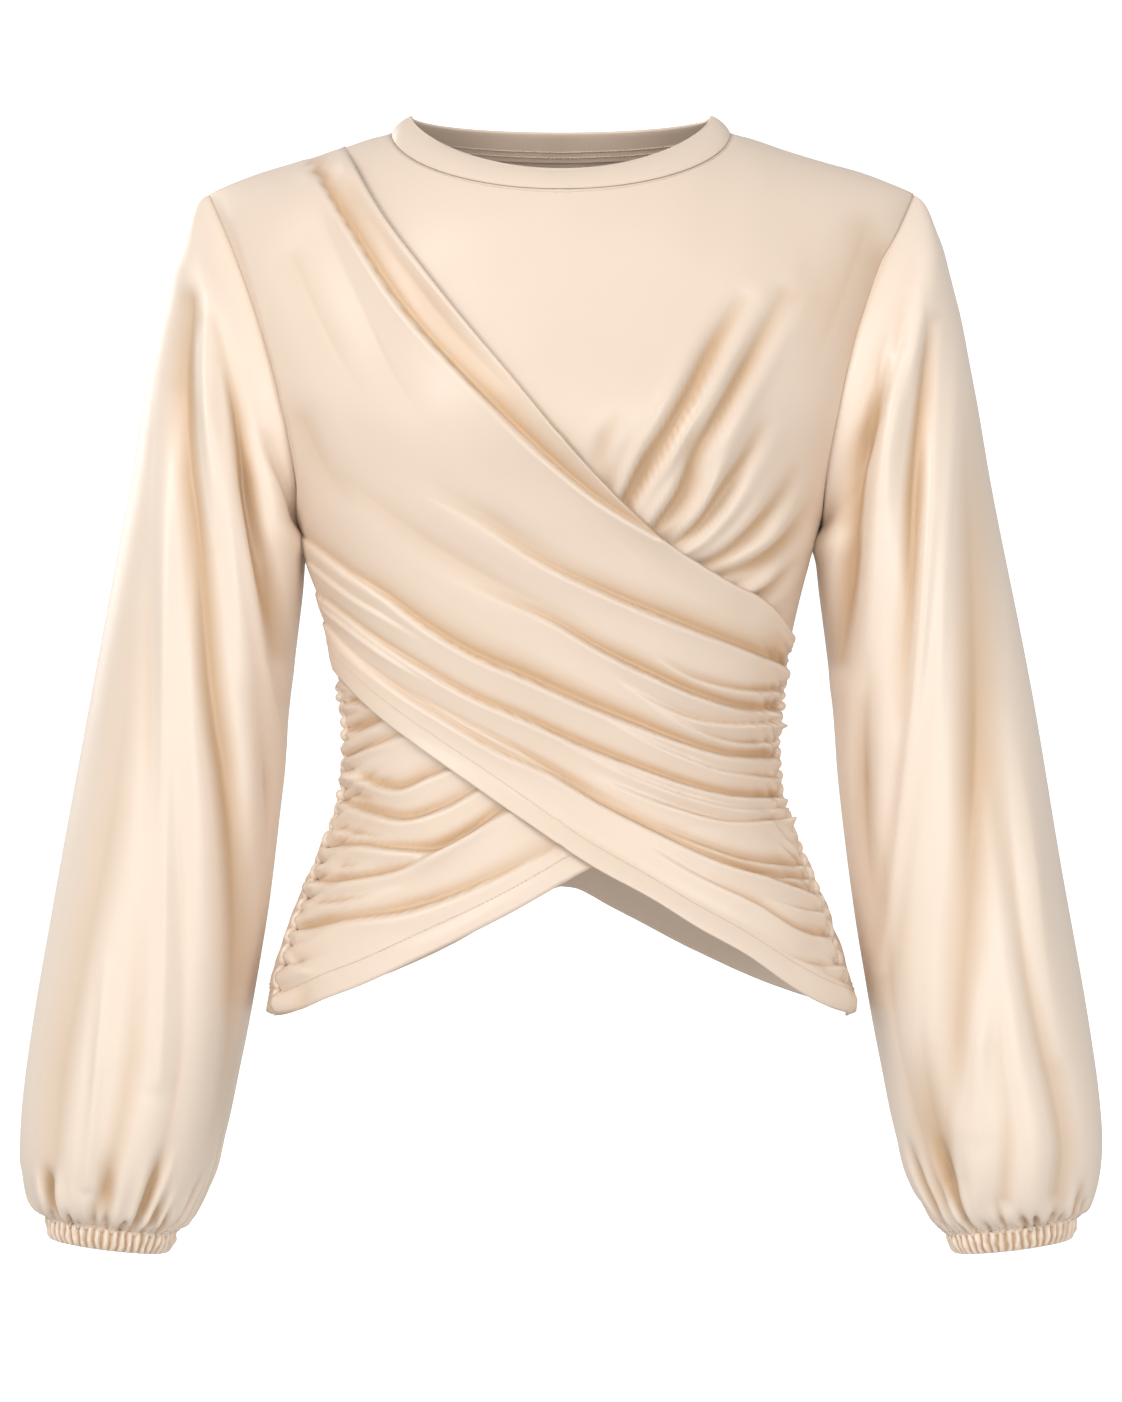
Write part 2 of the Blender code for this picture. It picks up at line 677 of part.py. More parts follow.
over_hem = to_ends(free_edge(OVER_HEM, over_shares), over_shares, over_left[-1], over_right[-1])
places = patch(over_top, over_hem, over_left, over_right, over_shares, FRONT_SHOULDER_DROP, 1.2, 1.2, 0.09)
skin = torso(places[..., 0], places[..., 1])
view = seen(skin)
edge_far = np.linalg.norm(skin - skin[:, :1], axis=-1)
edge_far = np.minimum(edge_far, np.linalg.norm(skin - skin[:, -1:], axis=-1))
room = ROOM_FOR_FOLDS * ease(edge_far / ROOM_REACH)
folds = sum(roll_height(fold, view) for fold in DRAPE_ROLLS)
height = LAYER + sink(view) + room + np.maximum(folds, -room)
height = height + ruched(skin, len(LEAD_IN), False, False)
cloth("front_over", skin + height[..., None] * facing(places), (0.83, 0.72, 0.61))

# Back: wraps round to both side seams, gathered along them, with an arched hem
right_low = np.concatenate([np.linspace(ARMPIT, level(right_rows[0]), PLAIN_SIDE_ROWS + 1)[1:-1], level(right_rows)])
back_right = np.concatenate([armhole(steps, 1), np.stack([side_seam(right_low, 1), right_low], axis=-1)])
back_left = np.concatenate([armhole(steps, 1), np.stack([side_seam(left_z, 1), left_z], axis=-1)])
back_left[:, 0] = 360 - back_left[:, 0]
back_neck = neck(neck_turn, NECK_BACK_DROP)[::-1]
back_neck[:, 0] = 180 - back_neck[:, 0]
back_neck[[0, -1]] = shoulder(back_neck[[0, -1], 0], 1)
spread = np.linspace(0, 1, BACK_SHOULDER_COLUMNS + 1)[:-1] ** 1.5
outer = 90 + (back_neck[0, 0] - 90) * spread
inner = 360 - outer[::-1]
back_top = np.concatenate([shoulder(outer, 1), back_neck, shoulder(inner, 1)])
back_top[0], back_top[-1] = back_right[0], back_left[0]
side_shares = NECK_SHARE * spread
back_shares = np.concatenate([side_shares, neck_shares, 1 - side_shares[::-1]])
hem_angle = back_right[-1, 0] + (back_left[-1, 0] - back_right[-1, 0]) * back_shares
hem_x = 166 * np.sin(np.radians(hem_angle))
hem_z = through(BACK_HEM, "z", hem_x)
back_hem = to_ends(np.stack([hem_angle, hem_z], axis=-1), back_shares, back_right[-1], back_left[-1])
places = patch(back_top, back_hem, back_right, back_left, back_shares, BACK_SHOULDER_DROP, NECK_PULL, 1.5)
skin = torso(places[..., 0], places[..., 1])
first = len(steps) + PLAIN_SIDE_ROWS - 1
height = ruched(skin, first, False, True) + ruched(skin, first, True, False)
cloth("back_panel", skin + height[..., None] * facing(places), (0.79, 0.68, 0.57))

# Neckband: stands on the neck seam and leans in
around = np.radians(np.concatenate([180 - neck_turn[:-1], neck_turn[::-1][:0], -neck_turn[:-1]]))
front_share = -np.cos(around)
turn = np.degrees(np.arcsin(np.clip(np.sin(around), -1, 1)))
seam_front, seam_back = neck(turn, NECK_FRONT_DROP), neck(turn, NECK_BACK_DROP)
seam_back[:, 0] = 180 - seam_back[:, 0]
seam = np.where(front_share[:, None] > -1e-6, torso(*seam_front.T), torso(*seam_back.T))
along = np.roll(seam, -1, axis=0) - np.roll(seam, 1, axis=0)
front_lean = np.where(front_share > 0, front_share, 0)
back_lean = np.where(front_share < 0, -front_share, 0)
middle_y = (BAND_FRONT[0] + BAND_BACK[0]) / 2
half_y = (BAND_BACK[0] - BAND_FRONT[0]) / 2
rim = np.stack(
    [
        BAND_HALF_WIDTH * np.sin(around),
        middle_y - half_y * front_share,
        BAND_SIDE_Z + (BAND_FRONT[1] - BAND_SIDE_Z) * front_lean**1.3 + (BAND_BACK[1] - BAND_SIDE_Z) * back_lean,
    ],
    axis=-1,
)
rise = rim - seam
rise = rise / np.linalg.norm(rise, axis=-1, keepdims=True)
out = np.cross(along, rise)
out = out / np.linalg.norm(out, axis=-1, keepdims=True)
out = out * np.sign(np.sum(out * np.stack([seam[:, 0], seam[:, 1], 0 * around + 30], axis=-1), axis=1))[:, None]
foot = seam + 1.4 * SEAM_GAP * rise
level_out = np.stack([np.sin(around), -front_share * 1.0, 0.25 + 0 * around], axis=-1)
level_out = level_out / np.linalg.norm(level_out, axis=-1, keepdims=True)
middle = (foot + rim) / 2 + 0.8 * out
rings = np.stack(
    [rim, middle, foot, foot - BAND_THICKNESS * level_out, middle - BAND_THICKNESS * out, rim - BAND_THICKNESS * out]
)
ring_wall("neckband", rings, (0.82, 0.71, 0.60))

# Sleeves: blown out from the armhole and gathered into the cuff


def sleeve_rows(side):
    """Sections of a sleeve from its armhole to its cuff, anticlockwise from above. side is -1 on the left."""
    count = 2 * SLEEVE_GATHERS
    around = np.radians(np.arange(count) * 360 / count)
    turn = np.degrees(around)
    front, back = armhole(np.minimum(turn, 360 - turn), -1), armhole(np.minimum(turn, 360 - turn), 1)
    rim = np.where(turn[:, None] <= 180, torso(*front.T), torso(*back.T)) * [-1, 1, 1]
    start = rim + [-1.2 * SEAM_GAP, 0, 0]
    knots = [start]
    for row in SLEEVE:
        ends = from_picture([(row.outer_x, row.outer_y), (row.inner_x, row.inner_y)])
        middle, half = ends.mean(axis=0), (ends[0] - ends[1]) / 2
        x = middle[0] + half[0] * np.cos(around)
        z = middle[1] + half[1] * np.cos(around)
        knots.append(np.stack([x, -row.half_depth * np.sin(around), z], axis=-1))
    knots = np.array(knots)
    tangents = np.gradient(knots, axis=0)
    first = knots[1] - knots[0]
    size = np.linalg.norm(first, axis=1, keepdims=True)
    shoulder_way = np.clip(np.cos(around), 0, 1)[:, None]
    way = first / size * (1 - shoulder_way) + np.array([-0.93, 0, -0.37]) * shoulder_way
    tangents[0] = way * size
    t = np.array([0] + SLEEVE_STEPS)
    i = np.minimum(t.astype(int), len(knots) - 2)
    f = (t - i)[:, None, None]
    rows = (
        knots[i] * (1 + 2 * f) * (1 - f) ** 2
        + knots[i + 1] * f * f * (3 - 2 * f)
        + tangents[i] * f * (1 - f) ** 2
        - tangents[i + 1] * f * f * (1 - f)
    )
    after = np.roll(rows, -1, axis=1) - np.roll(rows, 1, axis=1)
    out = np.cross(np.gradient(rows, axis=0), after)
    out = out / np.maximum(np.linalg.norm(out, axis=-1, keepdims=True), 1e-9)
    view = seen(rows)
    folds = sum(trough_depth(fold, view) for fold in SLEEVE_TROUGHS)
    from_rim = ease((t - 0.3) / 1.2) * ease((13 - t) / 2.0)
    folds = folds * from_rim[:, None] * (0.35 + 0.65 * np.abs(np.sin(around)))
    gathers = GATHER_RISE * (np.arange(count) % 2 - 0.5)
    gathers = gathers * (ease((t - GATHER_START) / 2.5) * (1 - 0.75 * ease((t - 12.2) / 0.8)))[:, None]
    return rows + (gathers - folds)[..., None] * out


for side, name in ((-1, "sleeve_right"), (1, "sleeve_left")):
    rows = sleeve_rows(side)
    if side > 0:
        rows = rows[:, ::-1] * [-1, 1, 1]
    cloth(name, rows, (0.82, 0.71, 0.60), closed=True)

# Cuffs: elastic casings, ribbed outside and plain inside


def cuff_ring(row, inward, ribbed):
    """One ring of a cuff. inward is how far it lies inside the cuff's outer face."""
    count = 2 * CUFF_RIBS
    around = np.radians(np.arange(count) * 360 / count)
    ends = from_picture([(row.outer_x, row.outer_y), (row.inner_x, row.inner_y)])
    middle, half = ends.mean(axis=0), (ends[0] - ends[1]) / 2
    rib = RIB_RISE * (np.arange(count) % 2 - 1) if ribbed else 0 * around
    wide = np.linalg.norm(half) + rib - inward
    deep = row.half_depth + rib - inward
    way = half / np.linalg.norm(half)
    x = middle[0] + way[0] * wide * np.cos(around)
    z = middle[1] + way[1] * wide * np.cos(around)
    return np.stack([x, -deep * np.sin(around), z], axis=-1)


for side, name in ((-1, "cuff_right"), (1, "cuff_left")):
    waist = CUFF_TOP._replace(outer_x=46.5, outer_y=1227, inner_x=173.5, inner_y=1243, half_depth=27.5)
    inner = RIB_RISE + CUFF_THICKNESS
    rings = np.array(
        [
            cuff_ring(CUFF_TOP, 0, True),
            cuff_ring(waist, 0, True),
            cuff_ring(CUFF_BOTTOM, 0, True),
            cuff_ring(CUFF_BOTTOM, inner, False),
            cuff_ring(CUFF_TOP, inner, False),
        ]
    )
    if side > 0:
        rings = rings[:, ::-1] * [-1, 1, 1]
    ring_wall(name, rings, (0.80, 0.69, 0.58))
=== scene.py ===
"""A cream jersey blouse with a crossed, ruched front and balloon sleeves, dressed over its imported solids.

Frame: +Z up, the front faces -Y, the origin is midway between the neck points. Shapes are worked out in
millimetres and picture units, and become metres when a mesh is made. Left and right are the viewer's,
except in the names of the sleeves and the cuffs, which are the wearer's.
"""

from collections import namedtuple

import bpy
import numpy as np
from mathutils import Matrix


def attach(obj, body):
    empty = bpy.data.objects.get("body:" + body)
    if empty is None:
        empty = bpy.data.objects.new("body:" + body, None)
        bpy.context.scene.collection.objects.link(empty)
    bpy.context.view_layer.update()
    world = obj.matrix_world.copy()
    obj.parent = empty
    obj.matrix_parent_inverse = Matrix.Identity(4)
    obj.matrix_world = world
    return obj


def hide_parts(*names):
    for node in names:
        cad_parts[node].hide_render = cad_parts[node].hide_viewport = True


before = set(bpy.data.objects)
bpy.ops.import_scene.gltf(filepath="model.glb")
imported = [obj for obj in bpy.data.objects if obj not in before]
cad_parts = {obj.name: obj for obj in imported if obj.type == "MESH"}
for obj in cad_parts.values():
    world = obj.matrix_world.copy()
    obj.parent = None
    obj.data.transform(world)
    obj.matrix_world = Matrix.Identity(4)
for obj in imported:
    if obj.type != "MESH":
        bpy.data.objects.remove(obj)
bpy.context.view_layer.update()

# BACK PANEL
# One piece of smooth knitted jersey that wraps round to both side seams, cut wide and gathered
# along them. Its hem arches up to the middle, and it carries the form that all the panels share.

SIDE_SEAM_GAP = 0.5
SHOULDER_TIP = 197.5
ARMHOLE_TOP = -36.0
ARMPIT = -217.0
ARMHOLE_SCOOP = 24.0
FRONT_ROUNDNESS = 0.80
BACK_ROUNDNESS = 0.78
FRONT_SHOULDER_DROP = 95.0
BACK_SHOULDER_DROP = 74.0
CLOTH = 0.9
MM = 0.001
NECK_POINT_X, NECK_POINT_Z = 94.0, -1.8
FRONT_NECK_DROP, BACK_NECK_DROP = 39.5, 7.5
HEM_TIP_Z, HEM_HALF_WIDTH = -493.0, 166.0

# The front view's unit in millimetres, and the place of the frame's origin there
UNIT, ORIGIN_X, ORIGIN_Y = 0.56, 561.0, 130.0

# The body that the blouse stands round, section by section
Section = namedtuple("Section", "z half_width front_depth back_depth")
TORSO = [
    Section(30, 197.5, 70, 66),
    Section(-36, 197.5, 82, 84),
    Section(-80, 189.5, 92, 95),
    Section(-126, 177.0, 102, 98),
    Section(-165, 163.5, 108, 95),
    Section(-200, 150.8, 104, 90),
    Section(-217, 145.6, 101, 87),
    Section(-241, 139.2, 95, 82),
    Section(-274, 131.0, 88, 76),
    Section(-308, 124.3, 84, 72),
    Section(-350, 121.3, 83, 72),
    Section(-375, 124.7, 86, 77),
    Section(-409, 138.0, 93, 88),
    Section(-442, 151.5, 99, 96),
    Section(-476, 162.0, 103, 101),
    Section(-510, 168.0, 106, 104),
]
Shoulder = namedtuple("Shoulder", "x z")
SHOULDERS = [Shoulder(*place) for place in (
    (0, 24), (60, 12), (94, -1.8), (106, -5.0), (125, -11.6), (147, -18.4), (170, -25.2), (188, -32.0),
    (197.5, -36.0),
)]
BUST_HEIGHT, BUST_LEVEL, BUST_REACH, BUST_SPREAD = 10.0, -165.0, 62.0, 42.0

# The side seams drift forward on their way down
SideSeam = namedtuple("SideSeam", "z angle")
SIDE_SEAM = [SideSeam(*place) for place in (
    (-217, 90.0), (-240, 86.5), (-268, 82.5), (-300, 79.0), (-380, 74.5), (-510, 72.0),
)]
BackHem = namedtuple("BackHem", "x z")
BACK_HEM = [BackHem(*place) for place in (
    (-172, -493), (-150, -491), (-110, -480), (-67, -461), (-30, -440), (2, -427), (36, -441), (81, -464),
    (124, -483), (152, -491), (172, -493),
)]

# Heights in the front view of the pinches along the two side seams
LEFT_PINCHES = [659, 671, 680, 692, 702, 716, 728, 741, 757, 771, 789, 800, 815, 830, 846]
LEFT_PINCHES += [862, 877, 896, 909, 926, 941, 962, 985, 1011]
RIGHT_PINCHES = [646, 655, 667, 675, 690, 700, 711, 722, 737, 746, 757, 769, 781, 795, 808, 822]
RIGHT_PINCHES += [840, 852, 865, 879, 893, 905, 917, 935, 946, 962, 980, 1011]


def curve_through(places, values, at):
    """A smooth curve through values, along their first axis, at rising places."""
    places, values = np.asarray(places, float), np.asarray(values, float)
    wide = (slice(None),) + (None,) * (values.ndim - 1)
    steps = np.diff(places)[wide]
    rises = np.diff(values, axis=0) / steps
    slopes = np.empty_like(values)
    slopes[0], slopes[-1] = rises[0], rises[-1]
    slopes[1:-1] = (rises[:-1] * steps[1:] + rises[1:] * steps[:-1]) / (steps[:-1] + steps[1:])
    at = np.clip(np.asarray(at, float), places[0], places[-1])
    i = np.clip(np.searchsorted(places, at) - 1, 0, len(places) - 2)
    size = places[i + 1] - places[i]
    t = (at - places[i]) / size
    if values.ndim > 1:
        t, size = t[wide], size[wide]
    near = values[i] + (values[i + 1] - values[i]) * t * t * (3 - 2 * t)
    return near + size * t * (1 - t) * (slopes[i] * (1 - t) - slopes[i + 1] * t)


def through(table, column, at):
    """A smooth curve through one column of a table, read along its first column."""
    ordered = sorted(table)
    return curve_through([row[0] for row in ordered], [getattr(row, column) for row in ordered], at)


def ease(t):
    """0 up to 0 and 1 from 1, with a soft start and end between them."""
    t = np.clip(t, 0, 1)
    return t * t * (3 - 2 * t)


def unit(ways):
    """The same directions, one long."""
    return ways / np.maximum(np.linalg.norm(ways, axis=-1, keepdims=True), 1e-9)


def passed_along(line):
    """The length of a line up to each of its points."""
    return np.concatenate([[0], np.cumsum(np.linalg.norm(np.diff(line, axis=0), axis=1))])


def uneven(k, low, high):
    """A value between low and high that jumps about with k, the same on every run."""
    wobble = np.sin(np.asarray(k, float) * 12.9898 + 4.1) * 43758.5453
    return low + (high - low) * (wobble - np.floor(wobble))


def half_width(z):
    """Half the width of the form at a height."""
    return np.minimum(through(TORSO, "half_width", z), SHOULDER_TIP)


def crest(angle):
    """The height of the shoulder line at an angle."""
    return through(SHOULDERS, "z", SHOULDER_TIP * np.abs(np.sin(np.radians(angle))))


def torso(angle, z):
    """The form that the cloth lies on. Angle 0 is the middle of the front, 90 the viewer's right side."""
    turn = np.radians(angle)
    x = half_width(z) * np.sin(turn)
    in_front = np.cos(turn) > 0
    depth = np.where(in_front, through(TORSO, "front_depth", z), through(TORSO, "back_depth", z))
    power = np.where(in_front, FRONT_ROUNDNESS, BACK_ROUNDNESS)
    drop = np.where(in_front, FRONT_SHOULDER_DROP, BACK_SHOULDER_DROP)
    below = np.clip((crest(angle) - z) / drop, 0, 1)
    depth = depth * np.abs(np.cos(turn)) ** power * np.sqrt(1 - (1 - below) ** 2)
    past = np.maximum(np.abs(x) - BUST_REACH, 0) / BUST_SPREAD
    bust = BUST_HEIGHT * np.exp(-(past**2) - ((z - BUST_LEVEL) / BUST_SPREAD) ** 2)
    y = np.where(in_front, -depth - bust * np.clip(np.cos(turn), 0, 1), depth)
    return np.stack([x, y, z + 0 * x], axis=-1)


def rolled(edge, drop):
    """(angle, z) as (angle, roll), where roll counts evenly over the rounding of the shoulder."""
    share = np.maximum((crest(edge[..., 0]) - edge[..., 1]) / drop, 0)
    roll = np.where(share < 1, np.arccos(np.clip(1 - share, 0, 1)), np.pi / 2 + share - 1)
    return np.stack([edge[..., 0], roll], axis=-1)


def unrolled(spots, drop):
    """(angle, roll) back as (angle, z)."""
    roll = spots[..., 1]
    share = np.where(roll < np.pi / 2, 1 - np.cos(roll), 1 + roll - np.pi / 2)
    return np.stack([spots[..., 0], crest(spots[..., 0]) - drop * share], axis=-1)


def facing(places):
    """The outward directions of the form at a grid of places."""
    angle, z = places[..., 0], places[..., 1]
    drop = np.where(np.cos(np.radians(angle)) > 0, FRONT_SHOULDER_DROP, BACK_SHOULDER_DROP)
    near_crest = crest(angle) - z < 8
    off_tip = np.where(np.abs(angle) < 90, np.clip(angle, -84, 84), np.clip(angle, 96, 264))
    angle = np.where(near_crest, off_tip, angle)
    z = np.where(near_crest, np.minimum(z, crest(angle)), z)
    roll = np.maximum(rolled(np.stack([angle, z], axis=-1), drop)[..., 1], 0.02)
    upper = unrolled(np.stack([angle, roll - 0.02], axis=-1), drop)
    lower = unrolled(np.stack([angle, roll + 0.02], axis=-1), drop)
    down = torso(angle, lower[..., 1]) - torso(angle, upper[..., 1])
    before = unrolled(np.stack([angle - 0.8, roll], axis=-1), drop)
    after = unrolled(np.stack([angle + 0.8, roll], axis=-1), drop)
    along = torso(angle + 0.8, after[..., 1]) - torso(angle - 0.8, before[..., 1])
    return unit(np.cross(down, along))


def level(y):
    """The height in millimetres of a place at y in the front view."""
    return (ORIGIN_Y - np.asarray(y, float)) * UNIT


def share_gap(z):
    """Half the side seam's gap, in degrees."""
    return np.degrees(0.5 * SIDE_SEAM_GAP / half_width(z))


def side_seam(z, panel):
    """The right side seam as (angle, z). panel is -1 for a front's edge and +1 for the back's."""
    return np.stack([through(SIDE_SEAM, "angle", z) + panel * share_gap(z), z], axis=-1)


def armhole(step, panel):
    """The right armhole as (angle, z), from the shoulder, step 0, to the armpit, step 180."""
    around = np.radians(step)
    middle = (ARMHOLE_TOP + ARMPIT) / 2
    z = middle + (ARMHOLE_TOP - middle) * np.cos(around)
    tip = 3.0 * np.exp(-np.asarray(step) / 8.0)
    angle = 90 + panel * (ARMHOLE_SCOOP * np.sin(around) + share_gap(z) + tip)
    return np.stack([angle, np.minimum(z, crest(angle) - 0.3)], axis=-1)


def shoulder(angle, panel):
    """The shoulder seam at an angle, drawn back from it by half the seam's gap."""
    drop, depth = (FRONT_SHOULDER_DROP, 82.0) if panel < 0 else (BACK_SHOULDER_DROP, 84.0)
    width = np.maximum(np.abs(np.cos(np.radians(angle))), 0.05) ** 0.8
    gap = 0.5 * (1.5 + np.abs(np.sin(np.radians(angle))) ** 6)
    roll = np.minimum(0.5 * gap / (depth * width), 0.1)
    return unrolled(np.stack([angle, roll], axis=-1), drop)


def neck(turn, drop):
    """The neck seam as (angle, z). turn is -90 at the left neck point and 90 at the right one."""
    x = NECK_POINT_X * np.sin(np.radians(turn))
    z = NECK_POINT_Z - drop * np.cos(np.radians(turn))
    return np.stack([np.degrees(np.arcsin(x / half_width(z))), z], axis=-1)


def evenly(line, count):
    """Places at even steps along a line of (angle, z) that lies on the form."""
    passed = passed_along(torso(line[:, 0], line[:, 1]))
    even = np.linspace(0, passed[-1], count)
    return np.stack([np.interp(even, passed, line[:, k]) for k in (0, 1)], axis=-1)


def joined(*runs):
    """One edge from several lines, each with its own number of steps, so that corners stay corners."""
    first = evenly(runs[0][0], runs[0][1] + 1)
    return np.concatenate([first] + [evenly(line, steps + 1)[1:] for line, steps in runs[1:]])


def armhole_and_side(panel, low_z, down_armhole, down_side):
    """The right edge of a panel: armhole, then side seam down to a height."""
    around = armhole(np.linspace(0, 180, 400), panel)
    return joined((around, down_armhole), (side_seam(np.linspace(ARMPIT, low_z, 200), panel), down_side))


def settled(top, bottom, left, right, drop, rounds=1600):
    """A smooth grid of (angle, roll) between four edges, let go until its lines lie evenly and never cross."""
    scale = np.array([2.6, drop])
    top, bottom, left, right = (rolled(edge, drop) * scale for edge in (top, bottom, left, right))
    u = np.linspace(0, 1, len(top))[None, :, None]
    v = np.linspace(0, 1, len(left))[:, None, None]
    grid = left[:, None] * (1 - u) + right[:, None] * u
    grid = grid + (1 - v) * (top[None] - (top[0] * (1 - u) + top[-1] * u))
    grid = grid + v * (bottom[None] - (bottom[0] * (1 - u) + bottom[-1] * u))
    for _ in range(rounds):
        before, after = grid[1:-1, :-2], grid[1:-1, 2:]
        above, below = grid[:-2, 1:-1], grid[2:, 1:-1]
        along, down = after - before, below - above
        tall = np.sum(down * down, axis=-1, keepdims=True)
        wide = np.sum(along * along, axis=-1, keepdims=True)
        skew = np.sum(along * down, axis=-1, keepdims=True)
        twist = grid[2:, 2:] - grid[2:, :-2] - grid[:-2, 2:] + grid[:-2, :-2]
        target = (tall * (before + after) + wide * (above + below) - 0.5 * skew * twist) / (2 * (tall + wide))
        grid[1:-1, 1:-1] += 0.9 * (target - grid[1:-1, 1:-1])
    return grid / scale


def refined(grid, times, drop):
    """The same grid with more lines, as (angle, z)."""
    for _ in (0, 1):
        at = np.linspace(0, len(grid) - 1, (len(grid) - 1) * times + 1)
        grid = curve_through(np.arange(len(grid)), grid, at).swapaxes(0, 1)
    grid[..., 1] = np.maximum(grid[..., 1], 0.003)
    return unrolled(grid, drop)


def offset_from(line, places):
    """How far each place lies from a line, plus to its left, and the share of the line passed there."""
    flat = places.reshape(-1, 2)
    best = np.full(len(flat), np.inf)
    signed, share = np.zeros(len(flat)), np.zeros(len(flat))
    runs = np.diff(line, axis=0)
    for k, (start, run) in enumerate(zip(line[:-1], runs)):
        away = flat - start
        t = np.clip(away @ run / (run @ run), 0, 1)
        gap = away - t[:, None] * run
        far = np.hypot(gap[:, 0], gap[:, 1])
        nearer = far < best
        side = np.sign(run[0] * away[:, 1] - run[1] * away[:, 0])
        best = np.where(nearer, far, best)
        signed = np.where(nearer, far * side, signed)
        share = np.where(nearer, (k + t) / len(runs), share)
    return signed.reshape(places.shape[:-1]), share.reshape(places.shape[:-1])


# A fold: its path, how wide it is and how high at its start, middle and end, in millimetres
Fold = namedtuple("Fold", "path width rise")


def smooth_path(path, count=22):
    """A fold's path with its corners rounded."""
    path = np.asarray(path, float)
    passed = passed_along(path)
    at = np.linspace(0, passed[-1], count)
    return np.stack([curve_through(passed, path[:, k], at) for k in (0, 1)], axis=-1)


def across_fold(fold, line, places, reach, profile):
    """A fold's shape, where profile takes the distance from its line and its rise there."""
    shape = np.zeros(places.shape[:-1])
    low, high = line.min(axis=0) - reach * fold.width, line.max(axis=0) + reach * fold.width
    touched = np.all((places > low) & (places < high), axis=-1)
    signed, share = offset_from(line, places[touched])
    shape[touched] = profile(signed, np.interp(share, [0, 0.5, 1], fold.rise))
    return shape


def roll(fold, line, places, step=0.8):
    """A pleat: from a crease at its line it swells to a rounded edge just below, and dips above."""
    swell = step + 0.16 * fold.width

    def profile(signed, rise):
        below = ease(0.45 - 0.55 * signed / swell) * np.exp(-np.maximum(-signed - swell, 0) / fold.width)
        above = np.exp(-np.maximum(signed, 0) / (0.55 * fold.width)) * ease(0.5 + signed / (2 * step))
        return rise * (0.85 * below - 0.85 * above)

    return across_fold(fold, line, places, 3.2, profile)


def crease(fold, line, places, step=0.8):
    """Painted shade: how much darker the colour is made where the cloth dips behind a pleat's edge."""

    def profile(signed, rise):
        fade = ease(0.6 + signed / (2 * step)) * np.exp(-np.maximum(signed, 0) / (0.38 * fold.width))
        return rise / 5.0 * fade

    return across_fold(fold, line, places, 2.0, profile)


def trough(fold, line, places, lips=0.3, cusp=0.35):
    """A valley with a soft lip on both sides, and a sharp middle as deep as cusp."""

    def profile(signed, rise):
        away = np.abs(signed) / fold.width
        valley = (1.05 - cusp) * np.exp(-((away / 0.66) ** 2)) + cusp * np.exp(-away / 0.3)
        return rise * (lips * np.exp(-((away - 1.35) ** 2) * 2.2) - valley)

    return across_fold(fold, line, places, 3.0, profile)


def puffs(heights, pinches, far, low, high, rise):
    """Small rounded gathers between the pinches of a seam, dying out away from it."""
    pinches = np.asarray(pinches, float)
    k = np.clip(np.searchsorted(pinches, heights) - 1, 0, len(pinches) - 2)
    phase = np.clip((heights - pinches[k]) / (pinches[k + 1] - pinches[k]), 0, 1)
    size = np.sqrt((pinches[k + 1] - pinches[k]) / 14.0) * uneven(k, 0.75, 1.2)
    reach = uneven(k + 31, low, high)
    in_use = (heights > pinches[0]) & (heights < pinches[-1])
    puff = rise * size * np.abs(np.sin(np.pi * phase)) ** 0.6 * in_use
    fade = np.clip(1 - far / reach[:, None], 0, 1) ** 1.3
    return puff[:, None] * fade - 0.45 * rise * ease(1 - far / high) * in_use[:, None]


def from_start(rows):
    """How far along its row each point lies."""
    far = np.cumsum(np.linalg.norm(np.diff(rows, axis=1), axis=-1), axis=1)
    return np.concatenate([np.zeros((len(rows), 1)), far], axis=1)


def fill(tree, made, **inputs):
    """Sets some of a node's inputs, or links them."""
    for key, value in inputs.items():
        socket = made.inputs[key.replace("_", " ")]
        if hasattr(value, "is_output"):
            tree.links.new(value, socket)
        else:
            socket.default_value = value


def node(tree, kind, settings=None, **inputs):
    """A node of a tree, with its settings and some of its inputs."""
    made = tree.nodes.new(kind)
    for key, value in (settings or {}).items():
        setattr(made, key, value)
    fill(tree, made, **inputs)
    return made


def sums(tree, operation, *values):
    """A math node's result."""
    made = node(tree, "ShaderNodeMath", dict(operation=operation))
    for socket, value in zip(made.inputs, values):
        if hasattr(value, "is_output"):
            tree.links.new(value, socket)
        else:
            socket.default_value = value
    return made.outputs[0]


def from_end(rows):
    """How far before the end of its row each point lies."""
    return from_start(rows[:, ::-1])[:, ::-1]


def knit_group():
    """Fine knit: wales, courses and uneven yarn, from the cloth's own cut coordinates."""
    group = bpy.data.node_groups.new("fine jersey knit", "ShaderNodeTree")
    group.interface.new_socket("Cut", in_out="INPUT", socket_type="NodeSocketVector")
    for name, usual in (("Gauge", 330), ("Unevenness", 0.5)):
        group.interface.new_socket(name, in_out="INPUT", socket_type="NodeSocketFloat").default_value = usual
    for name in ("Height", "Tone"):
        group.interface.new_socket(name, in_out="OUTPUT", socket_type="NodeSocketFloat")
    given, result = group.nodes.new("NodeGroupInput").outputs, group.nodes.new("NodeGroupOutput")
    bands = []
    for direction in ("X", "Y"):
        wave = node(group, "ShaderNodeTexWave", dict(bands_direction=direction), Vector=given["Cut"],
                    Scale=given["Gauge"], Distortion=0.6, Detail=1)
        bands.append(wave.outputs["Fac"])
    yarn = node(group, "ShaderNodeTexNoise", Vector=given["Cut"], Scale=900, Detail=2).outputs["Fac"]
    cloud = node(group, "ShaderNodeTexNoise", Vector=given["Cut"], Scale=16, Detail=3).outputs["Fac"]
    height = sums(group, "MULTIPLY_ADD", yarn, given["Unevenness"], sums(group, "MULTIPLY", *bands))
    fill(group, result, Height=height, Tone=cloud)
    return group


KNIT = knit_group()


def finish(name):
    """A new material, and its tree of nodes."""
    material = bpy.data.materials.new(name)
    material.use_nodes = True
    return material, material.node_tree


